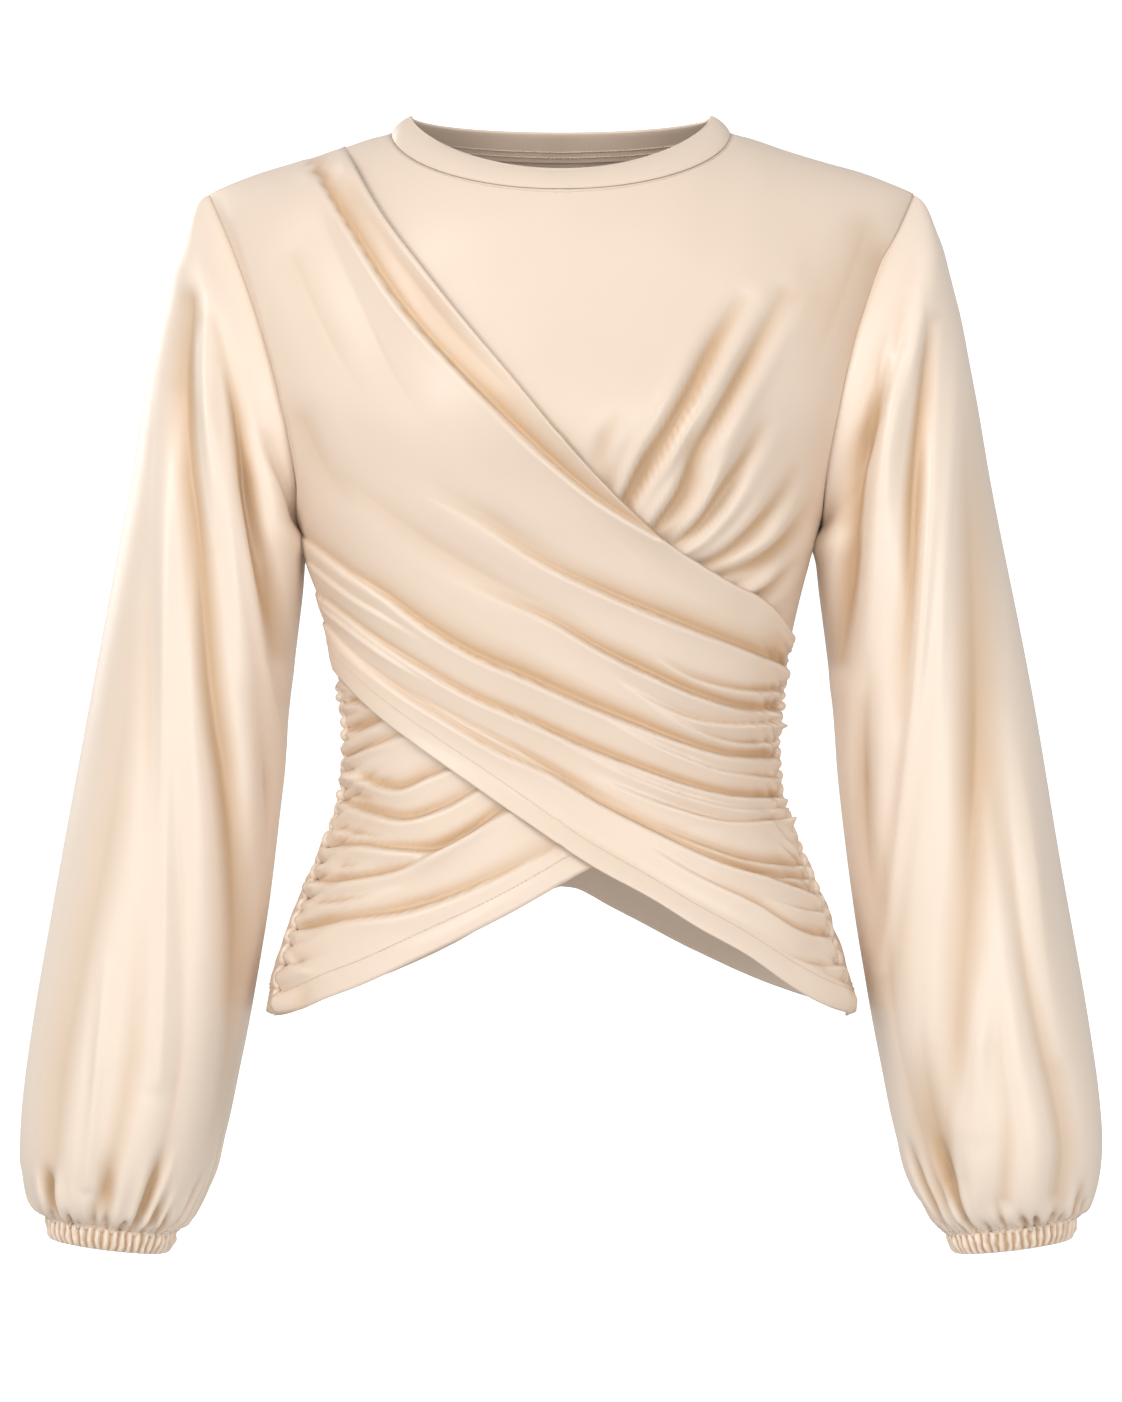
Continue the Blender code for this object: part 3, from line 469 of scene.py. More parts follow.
def jersey(name, colour, deep):
    """Cream satin-faced jersey: fine knit in its bump, a soft sheen on its folds, and painted shade: its colour
    turns towards deep, a darker, warmer colour, as far as the mesh's painted shade attribute says, in valleys and
    creases.
    """
    material, tree = finish(name)
    cut = node(tree, "ShaderNodeUVMap", dict(uv_map="cut")).outputs["UV"]
    knit = node(tree, "ShaderNodeGroup", dict(node_tree=KNIT), Cut=cut).outputs
    # Painted shade: the mesh's per-point shade mixes the colour towards deep, the darker, warmer colour of shaded
    # valleys and creases.
    depth = node(tree, "ShaderNodeAttribute", dict(attribute_name="painted_fold_shade")).outputs["Fac"]
    painted_shade_mix = node(tree, "ShaderNodeMix", dict(data_type="RGBA"), A=(*colour, 1), B=(*deep, 1), Factor=depth)
    bright = node(tree, "ShaderNodeMapRange", To_Min=0.965, To_Max=1.03, Value=knit["Tone"]).outputs["Result"]
    tone = node(tree, "ShaderNodeHueSaturation", Value=bright, Color=painted_shade_mix.outputs["Result"]).outputs["Color"]
    gloss = node(tree, "ShaderNodeMapRange", To_Min=0.37, To_Max=0.45, Value=knit["Tone"]).outputs["Result"]
    bump = node(tree, "ShaderNodeBump", Strength=0.22, Distance=0.0001, Height=knit["Height"]).outputs["Normal"]
    fill(tree, tree.nodes["Principled BSDF"], Base_Color=tone, Roughness=gloss, Normal=bump,
         Specular_IOR_Level=0.6, Coat_Weight=0.08, Coat_Roughness=0.5, Sheen_Weight=0.04, Sheen_Roughness=0.4)
    return material


def in_scene(name, data):
    """A new object of the scene."""
    made = bpy.data.objects.new(name, data)
    bpy.context.scene.collection.objects.link(made)
    return made


def cloth(name, rows, material, depth, closed=False, wall=CLOTH):
    """A cloth shell over rows of points, with its cut coordinates and the painted shade of its folds, given as
    depth.
    """
    count, across = rows.shape[:2]
    index = np.arange(count * across).reshape(count, across)
    here, after = (index, np.roll(index, -1, axis=1)) if closed else (index[:, :-1], index[:, 1:])
    quads = np.stack([here[:-1], here[1:], after[1:], after[:-1]], axis=-1)
    mesh = bpy.data.meshes.new(name)
    mesh.from_pydata((rows.reshape(-1, 3) * MM).tolist(), [], quads.reshape(-1, 4).tolist())
    wide = passed_along(rows[count // 2])
    if closed:
        wide = np.append(wide, wide[-1] + np.linalg.norm(rows[count // 2, 0] - rows[count // 2, -1]))
    long = passed_along(rows[:, across // 2])
    i, j = np.mgrid[0 : count - 1, 0 : quads.shape[1]]
    corners = [(i, j), (i + 1, j), (i + 1, j + 1), (i, j + 1)]
    cut = np.stack([np.stack([wide[b], long[a]], axis=-1) for a, b in corners], axis=2) * MM
    mesh.uv_layers.new(name="cut").data.foreach_set("uv", cut.astype(np.float32).ravel())
    # Painted shade: depth is kept per point and darkens the material's colour in valleys and creases.
    painted_shade = mesh.attributes.new("painted_fold_shade", "FLOAT", "POINT")
    painted_shade.data.foreach_set("value", np.clip(depth, 0, 1).astype(np.float32).ravel())
    mesh.polygons.foreach_set("use_smooth", np.ones(len(mesh.polygons), bool))
    mesh.materials.append(material)
    piece = in_scene(name, mesh)
    if wall:
        thick = piece.modifiers.new("cloth thickness", "SOLIDIFY")
        thick.thickness = wall * MM
        thick.offset = -1
    return piece


def dress(piece, node):
    """Hangs a cloth piece from the root and hides the imported part that it stands in for."""
    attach(piece, "root")
    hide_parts(node)


# Folds of the back, in millimetres across and up: drawn out of both side seams, flatter in the middle
BACK_FOLDS = [
    Fold([(-117, -306), (-84, -316), (-42, -322), (4, -321)], 6, (1.6, 1.4, 0)),
    Fold([(-118, -330), (-80, -338), (-30, -341), (22, -336)], 7, (2.0, 1.8, 0)),
    Fold([(-119, -352), (-92, -355), (-60, -357)], 5, (1.8, 1.0, 0)),
    Fold([(-121, -369), (-80, -368), (-34, -364), (14, -361)], 7, (2.2, 1.8, 0)),
    Fold([(-126, -392), (-92, -385), (-52, -377)], 6, (2.2, 1.4, 0)),
    Fold([(-135, -413), (-92, -401), (-46, -389), (-4, -384)], 8, (2.2, 2.0, 0)),
    Fold([(-143, -437), (-104, -423), (-66, -409)], 6, (2.0, 1.4, 0)),
    Fold([(-150, -461), (-108, -445), (-60, -424), (-16, -408)], 8, (2.0, 1.8, 0)),
    Fold([(118, -300), (82, -308), (44, -312)], 6, (1.8, 1.2, 0)),
    Fold([(118, -318), (74, -328), (24, -331), (-18, -328)], 7, (2.0, 1.8, 0)),
    Fold([(119, -343), (88, -348), (52, -349)], 5, (1.8, 1.0, 0)),
    Fold([(120, -361), (78, -356), (30, -350), (-22, -351)], 7, (2.2, 1.8, 0)),
    Fold([(124, -381), (96, -375), (66, -371)], 5, (2.0, 1.2, 0)),
    Fold([(131, -402), (88, -390), (40, -377), (-8, -372)], 8, (2.2, 2.0, 0)),
    Fold([(140, -425), (108, -413), (72, -400)], 6, (2.0, 1.4, 0)),
    Fold([(148, -448), (104, -432), (56, -410), (14, -396)], 8, (2.2, 1.8, 0)),
    Fold([(155, -470), (118, -458), (84, -445)], 6, (1.6, 1.2, 0)),
    Fold([(-142, -205), (-104, -232), (-58, -252), (-10, -262)], 16, (2.2, 1.6, 0)),
    Fold([(143, -198), (108, -226), (66, -248), (22, -270)], 15, (2.2, 1.4, 0)),
    Fold([(-158, -160), (-118, -178), (-76, -186)], 18, (1.6, 1.0, 0)),
    Fold([(160, -150), (124, -172), (80, -188)], 17, (1.6, 1.0, 0)),
    Fold([(-176, -84), (-150, -118), (-132, -160)], 14, (1.2, 0.9, 0)),
    Fold([(178, -80), (154, -122), (138, -166)], 14, (1.2, 0.9, 0)),
    Fold([(-20, -130), (-26, -200), (-16, -280)], 22, (0, 1.0, 0)),
    Fold([(28, -120), (22, -190), (30, -270)], 20, (0, 0.9, 0)),
]

back_right = armhole_and_side(1, HEM_TIP_Z, 28, 42)
back_left = back_right * [-1, 1] + [360, 0]
tip = armhole(0, 1)[0]
neck_end = np.degrees(np.arcsin(NECK_POINT_X / SHOULDER_TIP))
outer = shoulder(np.linspace(tip, 180 - neck_end, 200), 1)
neck_line = neck(90 * np.cos(np.linspace(0, np.pi, 600)), BACK_NECK_DROP) * [-1, 1] + [180, 0]
back_top = joined((outer, 15), (neck_line, 26), (outer[::-1] * [-1, 1] + [360, 0], 15))
hem_angle = np.linspace(back_right[-1, 0], back_left[-1, 0], 400)
hem_z = through(BACK_HEM, "z", HEM_HALF_WIDTH * np.sin(np.radians(hem_angle)))
hem_z = hem_z + (HEM_TIP_Z - hem_z[0]) * np.abs(np.linspace(-1, 1, 400)) ** 12
back_hem = evenly(np.stack([hem_angle, hem_z], axis=-1), len(back_top))
grid = settled(back_top, back_hem, back_right, back_left, BACK_SHOULDER_DROP)
places = refined(grid, 3, BACK_SHOULDER_DROP)


def seam_heights(column):
    """Heights in the front view down one edge of a panel."""
    return ORIGIN_Y - column[:, 1] / UNIT


skin = torso(places[..., 0], places[..., 1])
back_view = skin[..., [0, 2]]
height = sum(trough(fold, smooth_path(fold.path), back_view) for fold in BACK_FOLDS)
off_seams = ease(np.minimum(from_start(skin), from_end(skin)) / 14.0)
height = height * off_seams
height = height + puffs(seam_heights(places[:, 0]), RIGHT_PINCHES, from_start(skin), 16, 46, 3.8)
height = height + puffs(seam_heights(places[:, -1]), LEFT_PINCHES, from_start(skin[:, ::-1]), 16, 46, 3.8)[:, ::-1]
back_rows = skin + height[..., None] * facing(places)
back_cloth = jersey("back_jersey", (0.755, 0.62, 0.505), (0.60, 0.405, 0.245))
# Painted shade: darker colour in the valleys of the back's folds and between the seam puffs.
back = cloth("back_cloth", back_rows, back_cloth, -height / 5.0)
dress(back, "back_panel")

# UNDER FRONT
# The whole front in one piece: a smooth yoke below the neck, gathers that fan out from under the
# crossing edge, and the left side seam's ruching. Its hem runs up from the left tip.

LAYER, SPARE = 2.6, 3.0
FAN = slice(0, 13)
EYE_DISTANCE, EYE_LEVEL = 2600.0, -320.0
SIGHT_ROUNDS = 14
SHOULDER_STEPS, NECK_STEPS, FINER = 13, 32, 3

Edge = namedtuple("Edge", "x y")
OVER_TOP_EDGE = [Edge(*place) for place in (
    (345, 148.4), (375, 203), (425, 270), (475, 334), (525, 393), (575, 449), (625, 503), (675, 547),
    (725, 580), (765, 606), (788, 640),
)]
OVER_HEM = [Edge(*place) for place in (
    (341, 659), (375, 700), (425, 746), (475, 785), (525, 822), (592, 868), (650, 900), (700, 930), (750, 955),
    (800, 983), (857, 1009),
)]
UNDER_HEM = [Edge(*place) for place in (
    (266, 1009), (300, 998), (350, 984), (425, 954), (500, 919), (592, 868), (690, 822), (788, 783),
)]

# Gathers that fan out from below the crossing edge, in the front view's units. The rows after FAN
# are soft hollows beside the right armhole.
FAN_FOLDS = [
    Fold([(602, 484), (605, 450), (618, 408)], 9, (1.6, 1.2, 0)),
    Fold([(612, 492), (625, 462), (638, 438), (652, 408)], 7, (2.6, 1.8, 0)),
    Fold([(623, 502), (635, 480), (648, 452), (664, 420)], 5, (2.2, 1.6, 0)),
    Fold([(628, 510), (644, 476), (664, 444), (690, 398), (712, 352), (742, 300)], 8.5, (4.2, 4.4, 0.6)),
    Fold([(640, 521), (660, 490), (682, 453), (702, 414), (728, 362)], 5, (2.6, 2.2, 0)),
    Fold([(653, 533), (680, 500), (696, 455), (722, 408), (754, 352), (784, 296)], 8, (4.2, 3.6, 0.6)),
    Fold([(664, 540), (688, 512), (706, 474), (726, 436)], 4.5, (2.2, 1.6, 0)),
    Fold([(672, 547), (700, 524), (722, 496), (746, 458), (770, 412)], 7, (3.6, 2.8, 0)),
    Fold([(688, 557), (712, 542), (736, 520), (756, 494)], 4.5, (2.0, 1.4, 0)),
    Fold([(700, 567), (726, 555), (752, 534), (778, 502), (800, 462)], 7, (3.4, 2.6, 0)),
    Fold([(719, 579), (746, 568), (775, 552), (797, 526), (812, 494)], 7, (3.2, 2.6, 0)),
    Fold([(734, 588), (752, 580), (772, 568)], 4, (1.8, 1.0, 0)),
    Fold([(752, 602), (770, 590), (786, 572), (800, 552)], 5, (2.4, 1.6, 0)),
    Fold([(866, 232), (846, 290), (822, 348), (800, 392)], 20, (1.2, 1.3, 0)),
    Fold([(886, 262), (868, 322), (852, 368), (838, 410)], 14, (1.2, 1.4, 0)),
    Fold([(812, 232), (800, 292), (776, 352)], 24, (0.4, 0.9, 0)),
]

# Ruching drawn out of the left side seam
LEFT_FOLDS = [
    Fold([(346, 682), (356, 689), (368, 698)], 4, (2.2, 1.4, 0)),
    Fold([(348, 700), (362, 704), (382, 708)], 4.5, (2.4, 1.6, 0)),
    Fold([(350, 733), (370, 726), (396, 713)], 6, (3.2, 2.8, 0.8)),
    Fold([(349, 758), (375, 746), (412, 731)], 6.5, (3.2, 2.8, 0.8)),
    Fold([(350, 771), (376, 784), (400, 789), (428, 777), (460, 764)], 6.5, (2.6, 3.4, 1.0)),
    Fold([(348, 804), (380, 815), (404, 820), (438, 811), (482, 787)], 8, (3.4, 3.8, 1.4)),
    Fold([(340, 790), (362, 797), (384, 799)], 4, (2.2, 1.4, 0)),
    Fold([(326, 851), (352, 846), (400, 850), (434, 850), (466, 836), (506, 806)], 8, (3.4, 3.8, 1.4)),
    Fold([(336, 828), (362, 834), (398, 838)], 4.5, (2.4, 1.6, 0)),
    Fold([(318, 884), (352, 880), (402, 870), (444, 850), (486, 824), (530, 800)], 8, (3.4, 3.4, 1.4)),
    Fold([(322, 866), (350, 866), (384, 862)], 4.5, (2.2, 1.4, 0)),
    Fold([(306, 904), (338, 902), (372, 895), (410, 884)], 5, (2.2, 1.8, 0)),
    Fold([(292, 932), (350, 920), (404, 912), (454, 896), (505, 873), (562, 844)], 13, (2.6, 2.8, 1.0)),
    Fold([(288, 946), (296, 961), (312, 969), (336, 969)], 5, (2.2, 1.6, 0)),
    Fold([(400, 950), (450, 926), (510, 893), (566, 862)], 9, (0, 1.0, 0.6)),
]


def from_picture(pairs):
    """Places in the front view's units as millimetres in the plane of the side seams."""
    pairs = np.asarray(pairs, float)
    return np.stack([pairs[..., 0] - ORIGIN_X, ORIGIN_Y - pairs[..., 1]], axis=-1) * UNIT


def seen(points):
    """Where points appear in the front view, in the plane of the side seams."""
    shrink = EYE_DISTANCE / (EYE_DISTANCE + points[..., 1])
    return np.stack([points[..., 0] * shrink, EYE_LEVEL + (points[..., 2] - EYE_LEVEL) * shrink], axis=-1)


def behind(sight):
    """The angle and height of the form's front behind each place of the front view."""
    y = np.full(sight.shape[:-1], -80.0)
    for _ in range(SIGHT_ROUNDS):
        grow = (EYE_DISTANCE + y) / EYE_DISTANCE
        z = EYE_LEVEL + (sight[..., 1] - EYE_LEVEL) * grow
        sine = sight[..., 0] * grow / half_width(z)
        angle = np.degrees(np.arcsin(np.clip(sine, -0.999, 0.999)))
        y = torso(angle, z)[..., 1]
    return np.stack([angle, z], axis=-1)


def free_edge(table, start, end, count):
    """Even places along a free edge drawn in the front view, with its ends drawn onto its neighbours'."""
    t = (1 - np.cos(np.linspace(0, np.pi, 400))) / 2
    xs = table[0].x + (table[-1].x - table[0].x) * t
    spots = behind(from_picture(np.stack([xs, through(table, "y", xs)], axis=-1)))
    t = t[:, None]
    return evenly(spots + (1 - t) ** 8 * (start - spots[0]) + t**8 * (end - spots[-1]), count)


def cover(places):
    """How far inside the crossing front each place of the front view is."""
    share = np.linspace(0, 1, 60)
    top = from_picture([(x, through(OVER_TOP_EDGE, "y", x)) for x in 345 + 443 * share])
    hem = from_picture([(x, through(OVER_HEM, "y", x)) for x in 341 + 516 * share])
    return np.minimum(-offset_from(top, places)[0], offset_from(hem, places)[0])


def sink(inside):
    """The under front lies one layer lower where the crossing front covers it."""
    return -LAYER * ease((inside + 2) / 20.0)


def in_picture(folds, view, shape, **more):
    """The height of a list of folds given in the front view."""
    return sum(shape(fold, from_picture(smooth_path(fold.path)), view, **more) for fold in folds)


under_left = armhole_and_side(-1, HEM_TIP_Z, 28, 42) * [-1, 1]
under_right = armhole_and_side(-1, level(783), 28, 42)
outer = shoulder(np.linspace(-armhole(0, -1)[0], -neck_end, 200), -1)
neck_line = neck(-90 * np.cos(np.linspace(0, np.pi, 600)), FRONT_NECK_DROP)
under_top = joined((outer, SHOULDER_STEPS), (neck_line, NECK_STEPS), (outer[::-1] * [-1, 1], SHOULDER_STEPS))
under_hem = free_edge(UNDER_HEM, under_left[-1], under_right[-1], len(under_top))
grid = settled(under_top, under_hem, under_left, under_right, FRONT_SHOULDER_DROP)
places = refined(grid, FINER, FRONT_SHOULDER_DROP)
skin = torso(places[..., 0], places[..., 1])
view = seen(skin)
inside = cover(view)
folds = 1.3 * in_picture(FAN_FOLDS[FAN], view, trough, lips=0.45, cusp=0)
folds = folds + 1.5 * in_picture(FAN_FOLDS[FAN.stop :], view, trough)
folds = folds + 1.5 * in_picture(LEFT_FOLDS, view, roll, step=1.8)
# Painted shade: dark lines along the creases of the fan and of the left ruching.
painted_creases = 0.5 * in_picture(FAN_FOLDS[FAN], view, crease, step=4.6)
painted_creases = painted_creases + 1.6 * in_picture(LEFT_FOLDS, view, crease, step=1.8)
painted_creases = painted_creases * ease(-inside / 3.0)
folds = folds * ease(1 - inside / 6.0) * ease(0.2 + from_start(skin) / 12.0)
gathers = puffs(seam_heights(places[:, 0]), LEFT_PINCHES, from_start(skin), 22, 50, 6.5) * ease(-inside / 8.0)
to_seams = np.minimum(from_start(skin), from_end(skin))
deeper = SPARE * ease((inside - 10) / 24.0) * ease(to_seams / 14.0)
height = sink(inside) - deeper + folds + gathers
under_rows = skin + height[..., None] * facing(places)
under_cloth = jersey("under_jersey", (0.76, 0.625, 0.51), (0.60, 0.405, 0.245))
# Painted shade: the crease lines plus darker colour in the valleys of the folds and gathers.
under = cloth("under_cloth", under_rows, under_cloth, 1.2 * painted_creases - (folds + gathers) / 3.2)
dress(under, "front_under")

# CROSSING FRONT
# The upper layer: pleated into the left shoulder, drawn down across the chest and waist, and
# ruched into the right side seam. Its long top edge is folded under, and its hem is turned up.

ROOM_FOR_FOLDS, ROOM_REACH = 3.4, 12.0
STRAP_END_X = 121.0
FADE_BELOW_SHOULDER = 26.0

# Pleats and drape folds, each proud below its line and dipping above it
DRAPE_FOLDS = [
    Fold([(313, 171), (350, 229), (400, 305), (450, 364), (500, 413), (550, 459), (600, 500), (655, 533)], 13,
         (2.8, 3.2, 1.6)),
    Fold([(450, 506), (480, 522), (550, 566), (600, 590), (650, 612), (700, 632), (740, 648), (779, 665)], 11,
         (0.2, 2.4, 3.2)),
    Fold([(480, 590), (550, 620), (600, 650), (650, 675), (700, 697), (750, 710), (774, 709)], 10, (0.2, 3.2, 4.2)),
    Fold([(625, 685), (660, 705), (690, 718), (720, 723), (774, 722)], 7, (0.2, 2.2, 3.0)),
    Fold([(313, 540), (351, 571), (384, 592), (421, 621), (475, 655), (525, 677), (575, 700), (625, 721),
          (675, 741), (725, 757), (772, 758)], 12, (1.0, 3.2, 3.8)),
    Fold([(331, 599), (375, 635), (425, 668), (475, 697), (525, 719), (575, 743), (625, 764), (675, 783),
          (725, 797), (774, 800)], 10, (1.0, 3.0, 4.0)),
    Fold([(590, 775), (625, 790), (675, 810), (725, 824), (776, 823)], 7, (0, 2.2, 3.0)),
    Fold([(335, 626), (368, 662), (400, 688), (450, 721), (500, 752), (550, 775), (600, 806), (650, 832),
          (700, 857), (750, 876), (812, 900)], 11, (0.9, 2.8, 3.4)),
    Fold([(640, 845), (700, 880), (750, 905), (800, 935), (836, 941)], 9, (0, 2.6, 2.8)),
    Fold([(700, 860), (750, 876), (800, 881), (824, 886)], 6, (0, 1.9, 2.4)),
    Fold([(560, 742), (620, 772), (690, 800), (740, 812), (775, 812)], 5, (0, 1.4, 2.0)),
    Fold([(640, 700), (690, 728), (730, 742), (774, 742)], 5, (0, 1.5, 2.2)),
    Fold([(600, 716), (660, 748), (720, 772), (776, 780)], 5.5, (0, 1.5, 2.4)),
    Fold([(400, 683), (450, 713), (520, 751), (600, 797), (650, 822)], 5, (0, 1.6, 0)),
    Fold([(640, 820), (700, 846), (750, 862), (800, 868)], 5.5, (0, 1.6, 2.2)),
    Fold([(322, 566), (350, 590), (390, 616), (430, 642)], 6, (0.6, 0.9, 0)),
    Fold([(338, 612), (362, 632), (400, 660), (440, 686)], 5, (0.7, 0.9, 0)),
    Fold([(650, 655), (700, 680), (745, 690), (774, 690)], 5.5, (0, 1.6, 2.6)),
    Fold([(760, 900), (800, 912), (830, 918)], 5, (0, 1.4, 2.2)),
    Fold([(770, 950), (810, 966), (842, 968)], 5, (0, 1.2, 2.0)),
]

# Soft hollows that run with the drape over the chest
CHEST_FOLDS = [
    Fold([(328, 232), (360, 300), (398, 378), (448, 448)], 18, (1.6, 1.4, 0)),
    Fold([(296, 262), (336, 346), (388, 428)], 20, (1.2, 1.0, 0)),
    Fold([(356, 196), (400, 262), (452, 330), (520, 402)], 8, (0.8, 1.4, 0.2)),
    Fold([(424, 474), (500, 522), (574, 570)], 10, (0, 0.9, 0)),
    Fold([(352, 480), (430, 540), (520, 592), (610, 632)], 12, (0.4, 1.2, 0)),
    Fold([(420, 735), (500, 787), (600, 846), (700, 904), (800, 956)], 9, (0.4, 1.0, 0.6)),
    Fold([(306, 420), (330, 470), (360, 512)], 12, (1.2, 0.8, 0)),
]

over_left = armhole_and_side(-1, level(659), 30, 18) * [-1, 1]
over_right = evenly(side_seam(np.linspace(level(640), level(1010), 200), -1), 49)
start = -np.degrees(np.arcsin(STRAP_END_X / SHOULDER_TIP))
outer = shoulder(np.linspace(-armhole(0, -1)[0], start, 200), -1)
top_edge = free_edge(OVER_TOP_EDGE, outer[-1], over_right[0], 600)
over_top = joined((outer, 11), (top_edge, 49))
over_hem = free_edge(OVER_HEM, over_left[-1], over_right[-1], len(over_top))
grid = settled(over_top, over_hem, over_left, over_right, FRONT_SHOULDER_DROP)
places = refined(grid, 4, FRONT_SHOULDER_DROP)
skin = torso(places[..., 0], places[..., 1])
view = seen(skin)
to_seams = np.minimum(from_start(skin), from_end(skin))
room = ROOM_FOR_FOLDS * ease(to_seams / ROOM_REACH)
from_top = from_start(skin.transpose(1, 0, 2)).T
at_shoulder = ease(1 - (crest(places[..., 0]) - places[..., 1]) / FADE_BELOW_SHOULDER)
room = room * (1 - 0.9 * at_shoulder)
folds = 1.6 * in_picture(DRAPE_FOLDS, view, roll) + 1.3 * in_picture(CHEST_FOLDS, view, trough)
folds = folds * (1 - 0.9 * at_shoulder) * ease(from_end(skin) / 10.0)
top_roll = 1.8 * np.exp(-from_top / 12.0) - 2.4 * (1 - np.sqrt(1 - np.clip(1 - from_top / 3.5, 0, 1) ** 2))
top_roll = top_roll * ease(to_seams / 12.0) * (1 - at_shoulder)
gathers = puffs(seam_heights(places[:, -1]), RIGHT_PINCHES, from_start(skin[:, ::-1]), 18, 48, 5.4)[:, ::-1]
inside = cover(view)
spare = SPARE * ease((inside - 10) / 24.0) * ease(to_seams / 14.0)
height = (LAYER + sink(inside)) * (1 - 0.8 * at_shoulder) + room
height = height + np.maximum(folds, -room - spare) + top_roll + gathers
over_rows = skin + height[..., None] * facing(places)
over_cloth = jersey("over_jersey", (0.76, 0.625, 0.51), (0.61, 0.415, 0.255))
# Painted shade: dark lines where the drape pleats overlap, and darker colour in the valleys of the folds and
# gathers.
painted_creases = in_picture(DRAPE_FOLDS, view, crease)
over = cloth("over_cloth", over_rows, over_cloth, 1.8 * painted_creases - (folds + gathers) / 4.0)
dress(over, "front_over")

# SIDE SEAM GATHERS
# The back panel's gathered allowance, turned over each side seam: a row of small uneven puffs
# between the pinches, from the top of the ruching to the hem. It is sewn into the seam.


def seam_gathers(name, side, pinches):
    """A rolled row of puffs down one side seam. side is -1 on the viewer's left."""
    pinches = np.asarray(pinches[1:], float)
    at = np.linspace(pinches[0], pinches[-1], 300)
    k = np.clip(np.searchsorted(pinches, at, side="right") - 1, 0, len(pinches) - 2)
    phase = (at - pinches[k]) / (pinches[k + 1] - pinches[k])
    size = uneven(k + 7 * (side + 2), 0.7, 1.25)
    ends = ease((at - pinches[0]) / 20.0) * ease((pinches[-1] - at) / 26.0)
    radius = 0.7 + (0.6 + 1.9 * size * np.sqrt(1 - (2 * phase - 1) ** 2)) * ends
    angle = through(SIDE_SEAM, "angle", level(at)) + 0.9
    middle = torso(angle, level(at))
    out = facing(np.stack([angle, level(at)], axis=-1))
    across = np.cross(unit(np.gradient(middle, axis=0)), out)
    turn = np.linspace(0, 2 * np.pi, 10, endpoint=False)
    middle = middle + out * (0.5 * radius - 0.6)[:, None]
    reach = np.cos(turn)[None, :, None] * out[:, None] * 1.1 + np.sin(turn)[None, :, None] * across[:, None] * 0.9
    rows = middle[:, None] + radius[:, None, None] * reach
    if side < 0:
        rows = rows[:, ::-1] * [-1, 1, 1]
    # Painted shade: the thin parts of the rolled puffs, at the pinches, are coloured darker.
    depth = np.repeat((1 - radius / 2.4)[:, None], len(turn), axis=1)
    piece = cloth(name, rows, back_cloth, depth, closed=True, wall=0)
    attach(piece, "root")


seam_gathers("right_seam_gathers", 1, RIGHT_PINCHES)
seam_gathers("left_seam_gathers", -1, LEFT_PINCHES)

# NECKBAND
# A strip of the same jersey folded double and sewn round the neck, so that it stands up from the
# yoke and leans in. It is deeper in front than at the sides.

BAND_HALF_WIDTH = 84.0
BAND_FRONT, BAND_BACK, BAND_SIDE_Z = (-66.5, -28.5), (53.0, 5.6), 7.6
BAND_THICKNESS = 2.4
BAND_COLUMNS = 300

around = np.radians(270 - np.arange(BAND_COLUMNS) * 360 / BAND_COLUMNS)
to_front = -np.cos(around)
turn = np.degrees(np.arcsin(np.clip(np.sin(around), -1, 1)))
seam_front, seam_back = neck(turn, FRONT_NECK_DROP), neck(turn, BACK_NECK_DROP)
seam_back[:, 0] = 180 - seam_back[:, 0]
band_seam = np.where(to_front[:, None] > -1e-6, torso(*seam_front.T), torso(*seam_back.T))
in_front, at_back = np.maximum(to_front, 0), np.maximum(-to_front, 0)
rim_y = (BAND_FRONT[0] + BAND_BACK[0]) / 2 - (BAND_BACK[0] - BAND_FRONT[0]) / 2 * to_front
rim_z = BAND_SIDE_Z + (BAND_FRONT[1] - BAND_SIDE_Z) * in_front**1.3 + (BAND_BACK[1] - BAND_SIDE_Z) * at_back
rim = np.stack([BAND_HALF_WIDTH * np.sin(around), rim_y, rim_z], axis=-1)
stand = unit(rim - band_seam)
band_out = unit(np.cross(np.roll(band_seam, -1, axis=0) - np.roll(band_seam, 1, axis=0), stand))
away = np.stack([band_seam[:, 0], band_seam[:, 1], 0 * around + 30], axis=-1)
band_out = band_out * np.sign(np.sum(band_out * away, axis=1))[:, None]
level_out = unit(np.stack([np.sin(around), -to_front, 0.25 + 0 * around], axis=-1))
foot, top = band_seam - 0.5 * stand + 0.25 * band_out, rim - 1.2 * stand
wander = 0.18 * np.sin(5 * around + 1.0) + 0.12 * np.sin(11 * around + 2.2)
rings = []
for share in np.linspace(1, 0, 12):
    belly = 1.25 * np.sin(np.pi * share) ** 0.75 + wander * share
    rings.append(foot + (top - foot) * share + belly[:, None] * band_out)
round_over = []
for angle in np.radians(np.linspace(168, 12, 9)):
    round_over.append(top + 1.2 * (np.cos(angle) - 1) * band_out + 1.2 * np.sin(angle) * stand)
inner_rings = []
for share in np.linspace(0, 1, 9):
    inward = BAND_THICKNESS * (share * band_out + (1 - share) * level_out)
    inner_rings.append(foot - (1.5 - 1.5 * share) * stand + (top - foot) * share - inward)
band_rows = np.array(inner_rings[:-1] + round_over + rings)
# Painted shade: a little darker along the band's foot where it meets the yoke, and on the inner face, most at its
# foot and fading upward.
band_painted_shade = np.zeros(band_rows.shape[:2])
band_painted_shade[-1] = 0.25
band_painted_shade[:8] = np.linspace(0.15, 0.0, 8)[:, None]
band_cloth = jersey("band_jersey", (0.765, 0.63, 0.515), (0.585, 0.395, 0.24))
band = cloth("neckband_cloth", band_rows, band_cloth, band_painted_shade, closed=True, wall=0)
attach(band, "root")
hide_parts("neckband")

# SLEEVES
# One piece of jersey each, cut wide and long, set smoothly into the armhole and gathered hard into
# the cuff, so that it balloons between them. The seam runs down the inside of the arm.

